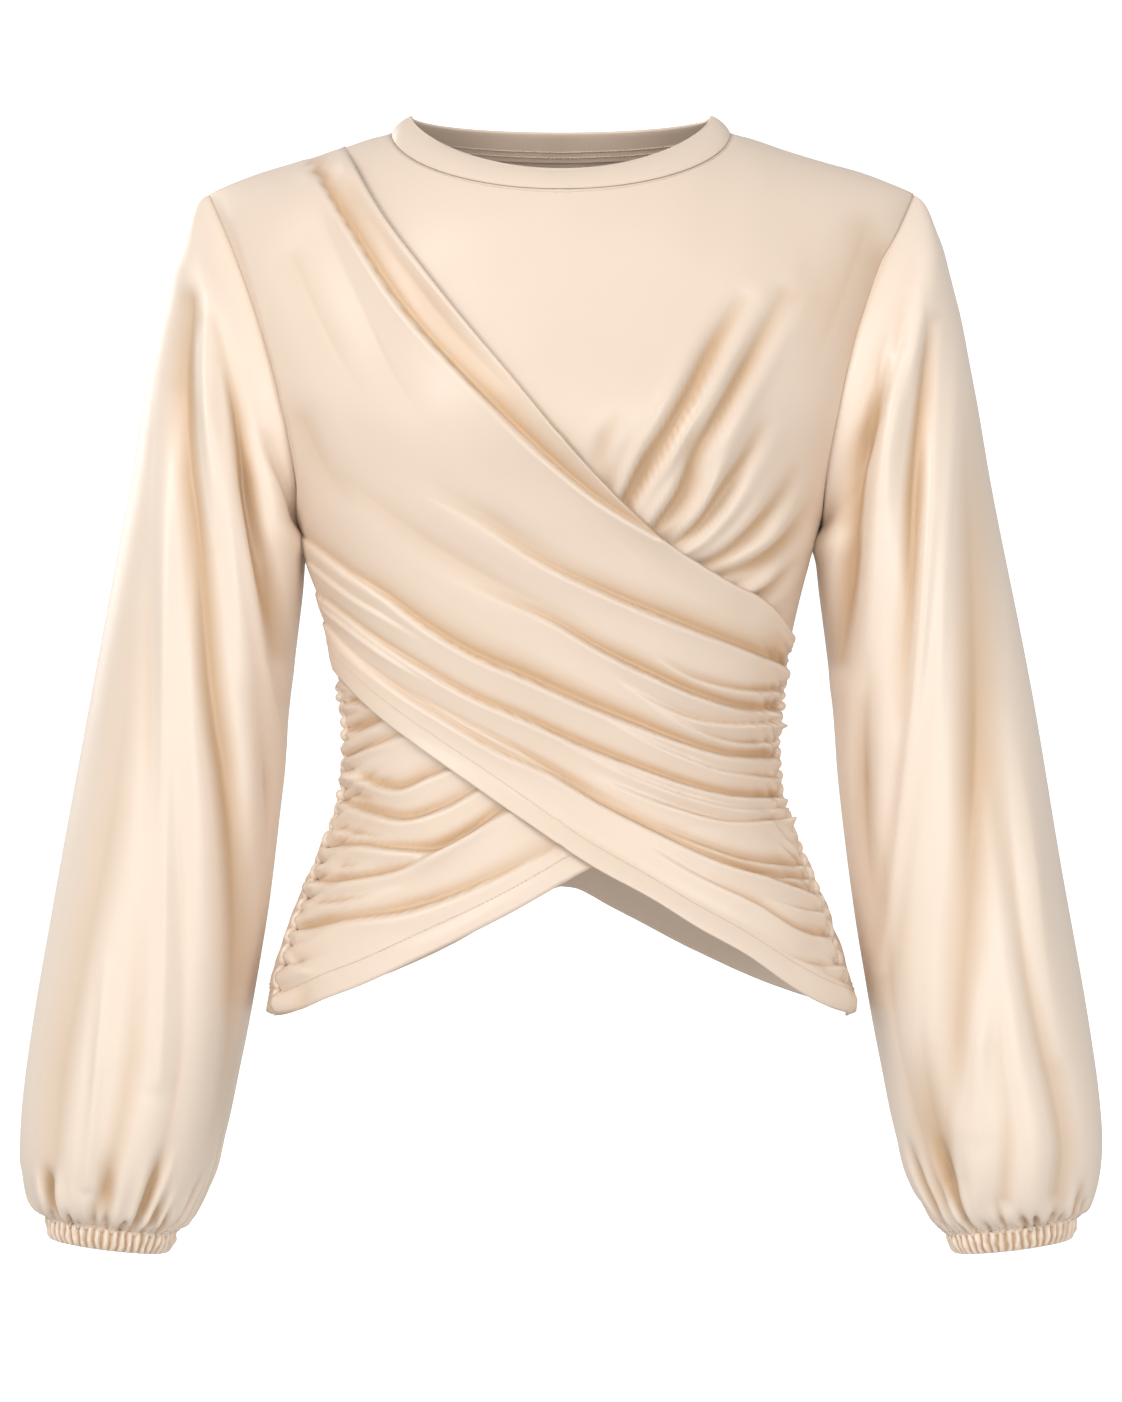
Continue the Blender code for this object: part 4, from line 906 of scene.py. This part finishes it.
Ring = namedtuple("Ring", "outer_x outer_y inner_x inner_y half_depth")
SLEEVE = [
    Ring(184, 238, 303, 536, 56),
    Ring(165, 310, 303, 553, 60),
    Ring(146, 400, 301, 580, 63),
    Ring(129, 495, 297, 620, 65),
    Ring(106, 620, 291, 690, 65),
    Ring(81, 760, 282, 785, 63),
    Ring(56, 900, 268, 893, 61),
    Ring(35, 1023, 251, 1003, 59),
    Ring(25, 1095, 238, 1072, 57),
    Ring(22, 1145, 227, 1125, 54),
    Ring(26, 1182, 214, 1172, 48),
    Ring(35, 1204, 195, 1212, 39),
    Ring(45, 1214, 177, 1231, 28),
]
SLEEVE_COLUMNS = 216
SLEEVE_MIDDLE_X = 560.0

# The seam allowance inside the armhole: how far under the panels and how far in each line of it lies
ALLOWANCE = ((2.2, 6), (1.5, 2.5), (1.1, 0.4))

# Long folds that fall from the armhole, as they show on the viewer's left sleeve
LEFT_SLEEVE_FOLDS = [
    Fold([(190, 300), (186, 350), (184, 400), (186, 450), (196, 525), (204, 600), (214, 700), (226, 770),
          (234, 850), (237, 930), (234, 1010), (226, 1080), (210, 1140), (192, 1190)], 14, (2.6, 3.2, 0.3)),
    Fold([(216, 318), (225, 350), (234, 395), (245, 450), (254, 510), (264, 565), (273, 610), (279, 650)], 11,
         (1.8, 6.6, 1.2)),
    Fold([(262, 372), (270, 410), (280, 440), (291, 478), (299, 512)], 12, (1.0, 6.0, 3.6)),
    Fold([(134, 560), (128, 660), (118, 760), (104, 850), (88, 930), (74, 1000), (62, 1060), (56, 1120),
          (52, 1180)], 18, (0.1, 1.1, 1.2)),
    Fold([(138, 820), (135, 900), (133, 980), (130, 1060), (120, 1130), (106, 1195)], 16, (0.1, 0.9, 1.6)),
    Fold([(176, 780), (182, 880), (184, 980), (180, 1070), (164, 1150), (146, 1210)], 13, (0.1, 0.6, 1.4)),
    Fold([(160, 330), (152, 440), (146, 560)], 16, (0.1, 1.2, 0.1)),
    Fold([(222, 370), (231, 450), (243, 530), (254, 600), (268, 680), (283, 745)], 4.5, (-0.3, -1.3, -0.3)),
    Fold([(203, 290), (206, 380), (210, 480), (214, 540)], 6, (-0.2, -1.4, -0.2)),
    Fold([(168, 400), (167, 540), (165, 700), (164, 860), (162, 1000), (158, 1080)], 7, (-0.2, -1.5, -0.4)),
    Fold([(106, 960), (102, 1020), (97, 1080), (92, 1130), (86, 1185)], 4, (-0.2, -1.2, -0.4)),
    Fold([(254, 690), (264, 750), (268, 810), (265, 880)], 8, (0.2, 2.2, 0.2)),
    Fold([(243, 330), (252, 372), (262, 420)], 7, (0.3, 2.2, 0.6)),
    Fold([(216, 236), (222, 270), (230, 300)], 8, (0.2, 1.4, 0.4)),
]
RIGHT_SLEEVE_FOLDS = [
    Fold([(905, 232), (900, 275), (892, 315), (880, 352), (873, 400), (864, 440), (856, 490), (850, 545),
          (845, 600), (838, 660)], 11, (1.2, 6.4, 1.4)),
    Fold([(856, 398), (847, 430), (836, 462), (827, 494), (823, 516)], 12, (1.0, 6.0, 3.6)),
    Fold([(925, 275), (928, 325), (925, 380), (919, 440), (914, 500), (910, 575), (904, 640), (896, 715)], 12,
         (0.6, 4.0, 0.4)),
    Fold([(958, 360), (971, 500), (976, 600), (978, 700), (976, 800), (969, 900), (957, 1020), (947, 1100),
          (946, 1160), (950, 1210)], 21, (0.3, 2.8, 0.8)),
    Fold([(1006, 740), (1015, 875), (1022, 940), (1032, 1000), (1046, 1060), (1058, 1110), (1064, 1150),
          (1058, 1195)], 13, (0.1, 1.6, 1.4)),
    Fold([(886, 780), (883, 880), (887, 960), (896, 1030), (908, 1090), (924, 1150), (942, 1200)], 14,
         (0.1, 1.2, 1.4)),
    Fold([(992, 860), (996, 980), (1002, 1060), (1008, 1130), (1004, 1200)], 13, (0.1, 0.9, 1.5)),
    Fold([(925, 920), (922, 1040), (930, 1110), (950, 1180)], 11, (0.1, 0.8, 1.2)),
    Fold([(940, 330), (935, 400), (928, 510), (922, 610), (914, 710), (902, 810), (892, 890), (880, 970)], 5,
         (-0.4, -1.7, -0.4)),
    Fold([(895, 262), (893, 330), (890, 410), (884, 500)], 6, (-0.2, -1.4, -0.2)),
    Fold([(1012, 720), (1030, 850), (1044, 960), (1060, 1050)], 9, (-0.1, -1.4, -0.3)),
    Fold([(985, 960), (978, 1060), (974, 1130)], 8, (-0.1, -1.4, -0.4)),
    Fold([(868, 660), (862, 740), (864, 830), (872, 900)], 8, (0.2, 2.0, 0.2)),
    Fold([(906, 300), (898, 345), (891, 390)], 7, (0.3, 2.2, 0.5)),
]

# The folds of the backs of the sleeves, in the same units, seen through from the front
SLEEVE_BACK_FOLDS = [
    Fold([(226, 270), (230, 350), (238, 420), (250, 500), (262, 580), (270, 680), (276, 760)], 13, (1.4, 4.4, 0)),
    Fold([(184, 260), (182, 400), (190, 480), (200, 580), (206, 680), (208, 790)], 15, (0.4, 3.2, 0)),
    Fold([(262, 360), (278, 440), (290, 486), (299, 512)], 12, (0.2, 4.6, 3.6)),
    Fold([(152, 400), (146, 580), (136, 690), (120, 800), (104, 900), (88, 1010), (76, 1120), (74, 1190)], 18,
         (0, 2.6, 1.2)),
    Fold([(224, 640), (232, 780), (230, 900), (218, 1010), (200, 1110), (182, 1200)], 15, (0, 2.6, 1.4)),
    Fold([(92, 800), (76, 920), (62, 1040), (56, 1120), (58, 1190)], 13, (0, 2.0, 1.4)),
    Fold([(170, 720), (164, 860), (156, 980), (146, 1100), (136, 1200)], 15, (0, 2.2, 1.6)),
    Fold([(118, 860), (112, 980), (108, 1090), (108, 1195)], 12, (0, 1.6, 1.6)),
]


def middle_and_half(row):
    """The middle of a ring, and the way from there to its outer end."""
    ends = from_picture([(row.outer_x, row.outer_y), (row.inner_x, row.inner_y)])
    return ends.mean(axis=0), (ends[0] - ends[1]) / 2


def sleeve_form(side, steps):
    """Sections of a sleeve from its armhole, 0, to its cuff, 13, and the panels' outward directions there.

    side is -1 on the viewer's left.
    """
    around = np.radians(np.arange(SLEEVE_COLUMNS) * 360 / SLEEVE_COLUMNS)
    turn = np.degrees(around)
    front, back = armhole(np.minimum(turn, 360 - turn), -1), armhole(np.minimum(turn, 360 - turn), 1)
    rim = np.where(turn[:, None] <= 180, torso(*front.T), torso(*back.T)) * [-1, 1, 1]
    panels_out = np.where(turn[:, None] <= 180, facing(front), facing(back)) * [-1, 1, 1]
    knots = [rim]
    for row in SLEEVE:
        middle, half = middle_and_half(row)
        x, z = (middle[k] + half[k] * np.cos(around) for k in (0, 1))
        knots.append(np.stack([x, -row.half_depth * np.sin(around), z], axis=-1))
    knots = np.array(knots)
    tangents = np.gradient(knots, axis=0)
    first = knots[1] - knots[0]
    size = np.linalg.norm(first, axis=1, keepdims=True)
    at_shoulder = np.clip(np.cos(around), 0, 1)[:, None]
    tangents[0] = (first / size * (1 - at_shoulder) + np.array([-0.93, 0, -0.37]) * at_shoulder) * size
    i = np.minimum(steps.astype(int), len(knots) - 2)
    f = (steps - i)[:, None, None]
    form = knots[i] * (1 + 2 * f) * (1 - f) ** 2 + knots[i + 1] * f * f * (3 - 2 * f)
    form = form + tangents[i] * f * (1 - f) ** 2 - tangents[i + 1] * f * f * (1 - f)
    if side < 0:
        return form, panels_out
    return (form * [-1, 1, 1])[:, ::-1], (panels_out * [-1, 1, 1])[::-1]


def mirrored(folds):
    """The folds of one sleeve on the other."""
    return [Fold([(2 * SLEEVE_MIDDLE_X - x, y) for x, y in fold.path], fold.width, fold.rise) for fold in folds]


def outward(rows):
    """The outward directions of a tube given as rings."""
    return unit(np.cross(np.gradient(rows, axis=0), np.roll(rows, -1, axis=1) - np.roll(rows, 1, axis=1)))


def gathered_in(around, steps, count, seed):
    """Valleys of uneven length, width and depth that run up from the cuff seam."""
    height = np.zeros((len(steps), len(around)))
    for k in range(count):
        middle = 360 / count * (k + uneven(k + seed, -0.36, 0.36))
        top = uneven(3 * k + seed, 9.3, 12.0)
        lean = uneven(5 * k + seed, -3.5, 3.5) * (13 - steps)
        off = (around[None, :] - middle - lean[:, None] + 180) % 360 - 180
        deep = uneven(7 * k + seed, 1.6, 4.4) * ease((steps - top) / 1.3) * (1 - 0.55 * ease((steps - 12.3) / 0.7))
        wide = uneven(11 * k + seed, 2.0, 4.0) * (1 + 0.3 * (13 - np.minimum(steps, 13)))
        away = np.abs(off) / wide[:, None]
        lip, valley = 0.35 * np.exp(-((away - 1.5) ** 2) * 2), 0.6 * np.exp(-(away**2))
        height += deep[:, None] * (lip - valley - 0.4 * np.exp(-away * 1.6))
    return height


steps = np.concatenate([np.linspace(0, 9, 120)[:-1], np.linspace(9, 13, 104)])
sleeve_rows = []
for side, name, folds_in_front in ((-1, "right", LEFT_SLEEVE_FOLDS), (1, "left", RIGHT_SLEEVE_FOLDS)):
    form, panels_out = sleeve_form(side, steps)
    degrees = np.arange(SLEEVE_COLUMNS) * 360 / SLEEVE_COLUMNS
    view = seen(form)
    to_front = ease(0.5 - (form[..., 1] - form[..., 1].mean(axis=1, keepdims=True)) / 26.0)
    folds = 1.6 * in_picture(folds_in_front, view, trough, lips=0.42) * to_front
    behind_folds = SLEEVE_BACK_FOLDS if side < 0 else mirrored(SLEEVE_BACK_FOLDS)
    folds = folds + 1.6 * in_picture(behind_folds, view, trough, lips=0.42) * (1 - to_front)
    calm = ease((steps - 0.25) / 1.3) * ease((13 - steps) / 1.6)
    folds = folds * calm[:, None]
    gathers = 1.7 * gathered_in(degrees, steps, 29, 2.0 + side)
    pinch = 0.55 * np.cos(np.radians(degrees * 46) + 0.6 * np.sin(np.radians(degrees * 7)))
    gathers = gathers + pinch[None] * ease((steps - 12.35) / 0.5)[:, None]
    tuck = -0.4 * np.exp(-steps / 0.04)[:, None]
    rows = form + (folds + gathers + tuck)[..., None] * outward(form)
    sleeve_rows.append(rows)
    allowance = [form[0] - deep * panels_out + [-side * far, 0, 0] for deep, far in ALLOWANCE]
    to_middle, down = rows[-1].mean(axis=0) - rows[-1], np.array([0.0, 0.0, -1.0])
    into_cuff = [rows[-1] + to_middle * share + fall * down for share, fall in ((0.03, 1.0), (0.05, 2.6))]
    rows = np.concatenate([allowance, rows, into_cuff])
    sleeve_cloth = jersey(f"sleeve_{name}_jersey", (0.825, 0.695, 0.58), (0.585, 0.395, 0.24))
    # Painted shade: darker colour in the valleys of the folds and gathers, and where the sleeve meets the armhole.
    depth = -2.2 * folds / 9.0 - gathers / 3.5 + 0.3 * np.exp(-steps / 0.04)[:, None]
    depth = np.concatenate([depth[:1], depth[:1], depth[:1], depth, depth[-1:], depth[-1:]])
    sleeve = cloth(f"sleeve_{name}_cloth", rows, sleeve_cloth, depth, closed=True)
    dress(sleeve, f"sleeve_{name}")

# CUFFS
# Casings of jersey with wide elastic inside, which draws them up into close uneven ribs. The sleeve
# is gathered into the top edge, and the inner face lies plain against the wrist.

CUFF_TOP = Ring(45, 1215.2, 177, 1232.2, 27.5)
CUFF_WAIST = Ring(46.5, 1227, 173.5, 1243, 27.5)
CUFF_BOTTOM = Ring(50, 1238, 168, 1253, 25.5)
CUFF_COLUMNS = 468


def named(tree, name, kind="FLOAT"):
    """An attribute that the mesh brings with it."""
    return node(tree, "GeometryNodeInputNamedAttribute", dict(data_type=kind), Name=name).outputs["Attribute"]


def begun_tree(name, *numbers):
    """A geometry tree that is given a mesh, some numbers and a material, and what it is given."""
    tree = bpy.data.node_groups.new(name, "GeometryNodeTree")
    tree.interface.new_socket("Geometry", in_out="INPUT", socket_type="NodeSocketGeometry")
    for number in numbers:
        tree.interface.new_socket(number, in_out="INPUT", socket_type="NodeSocketFloat")
    tree.interface.new_socket("Material", in_out="INPUT", socket_type="NodeSocketMaterial")
    tree.interface.new_socket("Geometry", in_out="OUTPUT", socket_type="NodeSocketGeometry")
    return tree, tree.nodes.new("NodeGroupInput").outputs


def ended_tree(tree, shape, material):
    """The tree with the shape it makes, in its material, as its result."""
    whole = node(tree, "GeometryNodeRealizeInstances", Geometry=shape).outputs[0]
    dyed = node(tree, "GeometryNodeSetMaterial", Geometry=whole, Material=material).outputs[0]
    node(tree, "NodeGroupOutput", Geometry=dyed)
    return tree


def rib_tree():
    """Ribs of uneven height and width round a cuff."""
    tree, given = begun_tree("elastic ribs", "Ribs", "Rise", "Unevenness")
    place = node(tree, "GeometryNodeInputPosition").outputs["Position"]
    drift = node(tree, "ShaderNodeTexNoise", Vector=place, Scale=130.0, Detail=1.0).outputs["Fac"]
    height = node(tree, "ShaderNodeTexNoise", Vector=place, Scale=210.0, Detail=0.0).outputs["Fac"]
    drift = sums(tree, "MULTIPLY", sums(tree, "SUBTRACT", drift, 0.5), given["Unevenness"])
    phase = sums(tree, "MULTIPLY", named(tree, "around"), given["Ribs"])
    wave = sums(tree, "COSINE", sums(tree, "MULTIPLY", sums(tree, "ADD", phase, drift), 2 * np.pi))
    crown = sums(tree, "POWER", sums(tree, "MULTIPLY_ADD", wave, 0.5, 0.5), 0.62)
    tall = sums(tree, "MULTIPLY_ADD", sums(tree, "SUBTRACT", height, 0.5), 1.1, 1.0)
    lift = sums(tree, "MULTIPLY", sums(tree, "SUBTRACT", sums(tree, "MULTIPLY", crown, tall), 1.0), given["Rise"])
    lift = sums(tree, "MULTIPLY", lift, named(tree, "ribbed"))
    offset = node(tree, "ShaderNodeVectorMath", dict(operation="SCALE"), Scale=lift)
    tree.links.new(named(tree, "outward", "FLOAT_VECTOR"), offset.inputs[0])
    moved = node(tree, "GeometryNodeSetPosition", Geometry=given["Geometry"], Offset=offset.outputs[0])
    return ended_tree(tree, moved.outputs[0], given["Material"])


RIBS = rib_tree()


def made_by(tree, piece, **values):
    """Runs a geometry tree on an object and leaves the result as the object's plain mesh."""
    builder = piece.modifiers.new("builder", "NODES")
    builder.node_group = tree
    for item in tree.interface.items_tree:
        if item.in_out == "INPUT" and item.name in values:
            builder[item.identifier] = values[item.name]
    bpy.context.view_layer.update()
    plain = bpy.data.meshes.new_from_object(piece.evaluated_get(bpy.context.evaluated_depsgraph_get()))
    piece.modifiers.remove(builder)
    piece.data = plain
    plain.name = piece.name


def cuff_ring(row, inward):
    """One smooth ring of a cuff, lying inward of its outer face."""
    around = np.radians(np.arange(CUFF_COLUMNS) * 360 / CUFF_COLUMNS)
    middle, half = middle_and_half(row)
    way, wide = half / np.linalg.norm(half), np.linalg.norm(half) - inward
    x, z = (middle[k] + way[k] * wide * np.cos(around) for k in (0, 1))
    return np.stack([x, -(row.half_depth - inward) * np.sin(around), z], axis=-1)


CUFF_RUN = [(0, 3.3, 0), (0, 1.5, 0), (0, 0.6, 0.5), (0.03, 0, 0.75), (0.10, -0.1, 0.95)]
CUFF_RUN += [(t, -0.1 - 0.5 * np.sin(np.pi * t), 1.0) for t in np.linspace(0.18, 0.84, 11)]
CUFF_RUN += [(0.91, 0, 0.95), (0.965, 0.4, 0.8), (1.0, 1.2, 0.55), (1.0, 2.2, 0.2), (0.97, 3.2, 0), (0.5, 3.3, 0)]
CUFF_RUN += [(0.02, 3.3, 0)]
for side, name in ((-1, "right"), (1, "left")):
    rows = []
    for share, inward, _ in CUFF_RUN:
        column = [curve_through([0, 0.5, 1], values, share) for values in zip(CUFF_TOP, CUFF_WAIST, CUFF_BOTTOM)]
        rows.append(cuff_ring(Ring(*column), inward))
    rows = np.array(rows)
    if side > 0:
        rows = (rows * [-1, 1, 1])[:, ::-1]
    cuff_cloth = jersey(f"cuff_{name}_jersey", (0.84, 0.705, 0.58), (0.56, 0.375, 0.23))
    ribbed = np.array([run[2] for run in CUFF_RUN])
    cuff = cloth(f"cuff_{name}_cloth", rows, cuff_cloth, np.zeros(rows.shape[:2]), closed=True, wall=0)
    around = np.broadcast_to(np.arange(CUFF_COLUMNS) / CUFF_COLUMNS, rows.shape[:2])
    away = unit(rows - rows.mean(axis=1, keepdims=True))
    for label, kind, values in (
        ("around", "FLOAT", around),
        ("ribbed", "FLOAT", np.broadcast_to(ribbed[:, None], rows.shape[:2])),
        ("outward", "FLOAT_VECTOR", away),
    ):
        field = "vector" if kind == "FLOAT_VECTOR" else "value"
        cuff.data.attributes.new(label, kind, "POINT").data.foreach_set(field, values.astype(np.float32).ravel())
    smooth = np.array([vertex.co for vertex in cuff.data.vertices])
    made_by(RIBS, cuff, Ribs=48.0, Rise=0.0020, Unevenness=0.75, Material=cuff_cloth)
    # Painted shade: the deeper the ribs sink, the darker their colour.
    sunk = np.linalg.norm(np.array([vertex.co for vertex in cuff.data.vertices]) - smooth, axis=1)
    painted_shade = np.clip(sunk / 0.0016, 0, 1) ** 1.6
    cuff.data.attributes["painted_fold_shade"].data.foreach_set("value", painted_shade.astype(np.float32))
    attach(cuff, "root")
    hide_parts(f"cuff_{name}")

# STITCHING
# Thread in the cloth's own colour: a cover stitch round the hems and the neck, a plain one beside
# the band's front seam, and the gathering stitches that hold the sleeves in the cuffs.


def stitch_tree():
    """Short arched stitches set one after another along a line."""
    tree, given = begun_tree("row of stitches", "Pitch", "Length", "Rise", "Thread")
    line = node(tree, "GeometryNodeMeshToCurve", Mesh=given["Geometry"]).outputs["Curve"]
    spaced = node(tree, "GeometryNodeResampleCurve", dict(mode="LENGTH"), Curve=line, Length=given["Pitch"])
    half = sums(tree, "MULTIPLY", given["Length"], 0.5)
    left = node(tree, "ShaderNodeCombineXYZ", X=sums(tree, "MULTIPLY", half, -1.0)).outputs[0]
    peak = node(tree, "ShaderNodeCombineXYZ", Z=given["Rise"]).outputs[0]
    right = node(tree, "ShaderNodeCombineXYZ", X=half).outputs[0]
    arch = node(tree, "GeometryNodeCurveQuadraticBezier", Resolution=4, Start=left, Middle=peak, End=right)
    thread = node(tree, "GeometryNodeCurvePrimitiveCircle", Resolution=5, Radius=given["Thread"]).outputs["Curve"]
    stitch = node(tree, "GeometryNodeCurveToMesh", Curve=arch.outputs[0], Profile_Curve=thread, Fill_Caps=True)
    turn = node(tree, "FunctionNodeAxesToRotation", dict(primary_axis="Z", secondary_axis="X"),
                Primary_Axis=named(tree, "outward", "FLOAT_VECTOR"),
                Secondary_Axis=node(tree, "GeometryNodeInputTangent").outputs[0])
    size = node(tree, "FunctionNodeRandomValue", Seed=7)
    size.inputs[2].default_value, size.inputs[3].default_value = 0.88, 1.1
    placed = node(tree, "GeometryNodeInstanceOnPoints", Points=spaced.outputs[0], Instance=stitch.outputs[0],
                  Rotation=turn.outputs[0], Scale=size.outputs[1])
    return ended_tree(tree, placed.outputs[0], given["Material"])


STITCHES = stitch_tree()


def thread_finish(name, colour):
    """Twisted polyester thread, a little glossier than the cloth."""
    material, tree = finish(name)
    where = node(tree, "ShaderNodeTexCoord").outputs["Object"]
    twist = node(tree, "ShaderNodeTexWave", dict(bands_direction="DIAGONAL"), Scale=1500, Vector=where)
    twist = twist.outputs["Fac"]
    dark = (*(0.8 * value for value in colour), 1)
    shade = node(tree, "ShaderNodeMix", dict(data_type="RGBA"), A=dark, B=(*colour, 1), Factor=twist)
    gloss = node(tree, "ShaderNodeMapRange", To_Min=0.34, To_Max=0.5, Value=twist).outputs["Result"]
    bump = node(tree, "ShaderNodeBump", Strength=0.3, Distance=0.00008, Height=twist).outputs["Normal"]
    fill(tree, tree.nodes["Principled BSDF"], Base_Color=shade.outputs["Result"], Roughness=gloss, Normal=bump,
         Sheen_Weight=0.2)
    return material


THREAD = thread_finish("thread", (0.80, 0.66, 0.52))


def stitched(name, lines, pitch=2.6, length=2.0, rise=0.5, thread=0.24):
    """Rows of stitches along lines, each given as (points, outward directions) in millimetres."""
    verts, edges, ways = [], [], []
    for points, out in lines:
        start = len(verts)
        verts += (points * MM).tolist()
        ways.append(out)
        edges += [(k, k + 1) for k in range(start, start + len(points) - 1)]
    mesh = bpy.data.meshes.new(name)
    mesh.from_pydata(verts, edges, [])
    way = mesh.attributes.new("outward", "FLOAT_VECTOR", "POINT")
    way.data.foreach_set("vector", np.concatenate(ways).astype(np.float32).ravel())
    piece = in_scene(name, mesh)
    made_by(STITCHES, piece, Pitch=pitch * MM, Length=length * MM, Rise=rise * MM,
            Thread=thread * MM, Material=THREAD)
    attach(piece, "root")


def along_edge(rows, far, from_hem=True):
    """A line on a cloth at an even distance from its last row, or from its first."""
    ordered = rows[::-1] if from_hem else rows
    passed = from_start(ordered.transpose(1, 0, 2))
    points = [[np.interp(far, passed[j], ordered[:, j, k]) for k in range(3)] for j in range(rows.shape[1])]
    before = [[np.interp(far - 2, passed[j], ordered[:, j, k]) for k in range(3)] for j in range(rows.shape[1])]
    points, down = np.array(points), np.array(points) - np.array(before)
    out = unit(np.cross(down if not from_hem else -down, np.gradient(points, axis=0)))
    return points + 0.05 * out, out


over_line = along_edge(over_rows, 14.5)
stitched("over_hem_stitches", [tuple(part[4:-4] for part in over_line)])
under_line = along_edge(under_rows, 14.0)
shown = np.flatnonzero(cover(seen(under_line[0])) < 1.0)
stitched("under_hem_stitches", [tuple(part[4 : shown[-1]] for part in under_line)])
back_lines = [tuple(part[4:-4] for part in along_edge(back_rows, far)) for far in (13.0, 15.4)]
stitched("back_hem_stitches", back_lines)
neck_first = FINER * SHOULDER_STEPS
neck_last = neck_first + FINER * NECK_STEPS
front_line = tuple(part[neck_first + 2 : neck_last - 2] for part in along_edge(under_rows, 2.2, from_hem=False))
stitched("front_neck_stitches", [front_line], pitch=2.4, length=1.8, rise=0.36, thread=0.2)
inner_lines = []
for share in (0.12, 0.34):
    at = foot + (top - foot) * share - BAND_THICKNESS * (share * band_out + (1 - share) * level_out)
    half = BAND_COLUMNS // 2
    inner_lines.append((at[half:] - 0.05 * band_out[half:], -band_out[half:]))
stitched("back_neck_stitches", inner_lines, pitch=2.3, length=1.9, rise=0.9, thread=0.36)
for side, name in ((-1, "right"), (1, "left")):
    ring = sleeve_rows[(side + 1) // 2]
    at, out = ring[-3], outward(ring)[-3]
    at, out = np.concatenate([at, at[:1]]), np.concatenate([out, out[:1]])
    stitched(f"cuff_{name}_stitches", [(at, out)], pitch=2.9, length=2.2, rise=0.9,
             thread=0.3)

# ROOM
# A plain pale floor that runs up into a pale wall, a tall soft lamp on each side of the front, a
# weak one low down, another behind, and a long lens straight in front, level with the waist.

FLOOR_Z, SWEEP_REACH, WALL_TOP = -0.74, 6.5, 6.0
COVE_Y, COVE = 5.4, 0.9
EYE, PICTURE_HEIGHT = (0, -2.6, -0.31976), 1402
LAMPLIGHT = (1.0, 0.985, 0.965)


def pale_sweep():
    """A floor and a wall behind, joined by a round cove."""
    run = [(-SWEEP_REACH, 0.0)]
    run += [(COVE_Y + COVE * np.sin(a), COVE - COVE * np.cos(a)) for a in np.linspace(0, np.pi / 2, 12)]
    run.append((COVE_Y + COVE, WALL_TOP))
    verts = [(x, y, z + FLOOR_Z) for x in (-SWEEP_REACH, SWEEP_REACH) for y, z in run]
    faces = [(i, i + 1, len(run) + i + 1, len(run) + i) for i in range(len(run) - 1)]
    mesh = bpy.data.meshes.new("floor")
    mesh.from_pydata(verts, [], faces)
    material, tree = finish("pale_floor")
    fill(tree, tree.nodes["Principled BSDF"], Base_Color=(0.92, 0.92, 0.92, 1), Roughness=0.9,
         Emission_Color=(1, 1, 1, 1), Emission_Strength=0.75)
    mesh.materials.append(material)
    mesh.polygons.foreach_set("use_smooth", np.ones(len(mesh.polygons), bool))
    return in_scene("floor", mesh)


sweep = pale_sweep()
sweep.visible_diffuse = False
sweep.visible_glossy = False


def lamp(name, place, size, power, colour=LAMPLIGHT):
    """A soft lamp that looks at the middle of the blouse."""
    light = bpy.data.lights.new(name, "AREA")
    light.shape = "RECTANGLE"
    light.size, light.size_y = size
    light.energy = power
    light.color = colour
    fitting = in_scene(name, light)
    fitting.location = place
    way = np.array([0, 0, -0.3]) - place
    turn = np.arctan2(-way[0], way[1])
    tilt = np.arctan2(np.hypot(way[0], way[1]), -way[2])
    fitting.rotation_euler = (tilt, 0, turn)


lamp("key", np.array([-1.7, -2.4, 1.1]), (0.9, 2.2), 47)
lamp("fill", np.array([1.3, -2.7, -0.5]), (0.9, 2.2), 36)
lamp("low", np.array([0.1, -1.7, -0.68]), (1.4, 0.5), 3.6, (1.0, 0.97, 0.94))
lamp("back", np.array([-2.1, 2.4, 1.0]), (1.2, 2.0), 34)

world = bpy.data.worlds.new("studio")
world.use_nodes = True
fill(world.node_tree, world.node_tree.nodes["Background"], Color=(1.0, 0.995, 0.985, 1), Strength=0.60)
bpy.context.scene.world = world
bpy.context.scene.view_settings.view_transform = "Standard"

lens = bpy.data.cameras.new("camera")
lens.sensor_fit = "VERTICAL"
lens.sensor_height = 36
lens.lens = lens.sensor_height * -EYE[1] / (PICTURE_HEIGHT * UNIT * MM)
camera = in_scene("camera", lens)
camera.location = EYE
camera.rotation_euler = (np.pi / 2, 0, 0)
bpy.context.scene.camera = camera
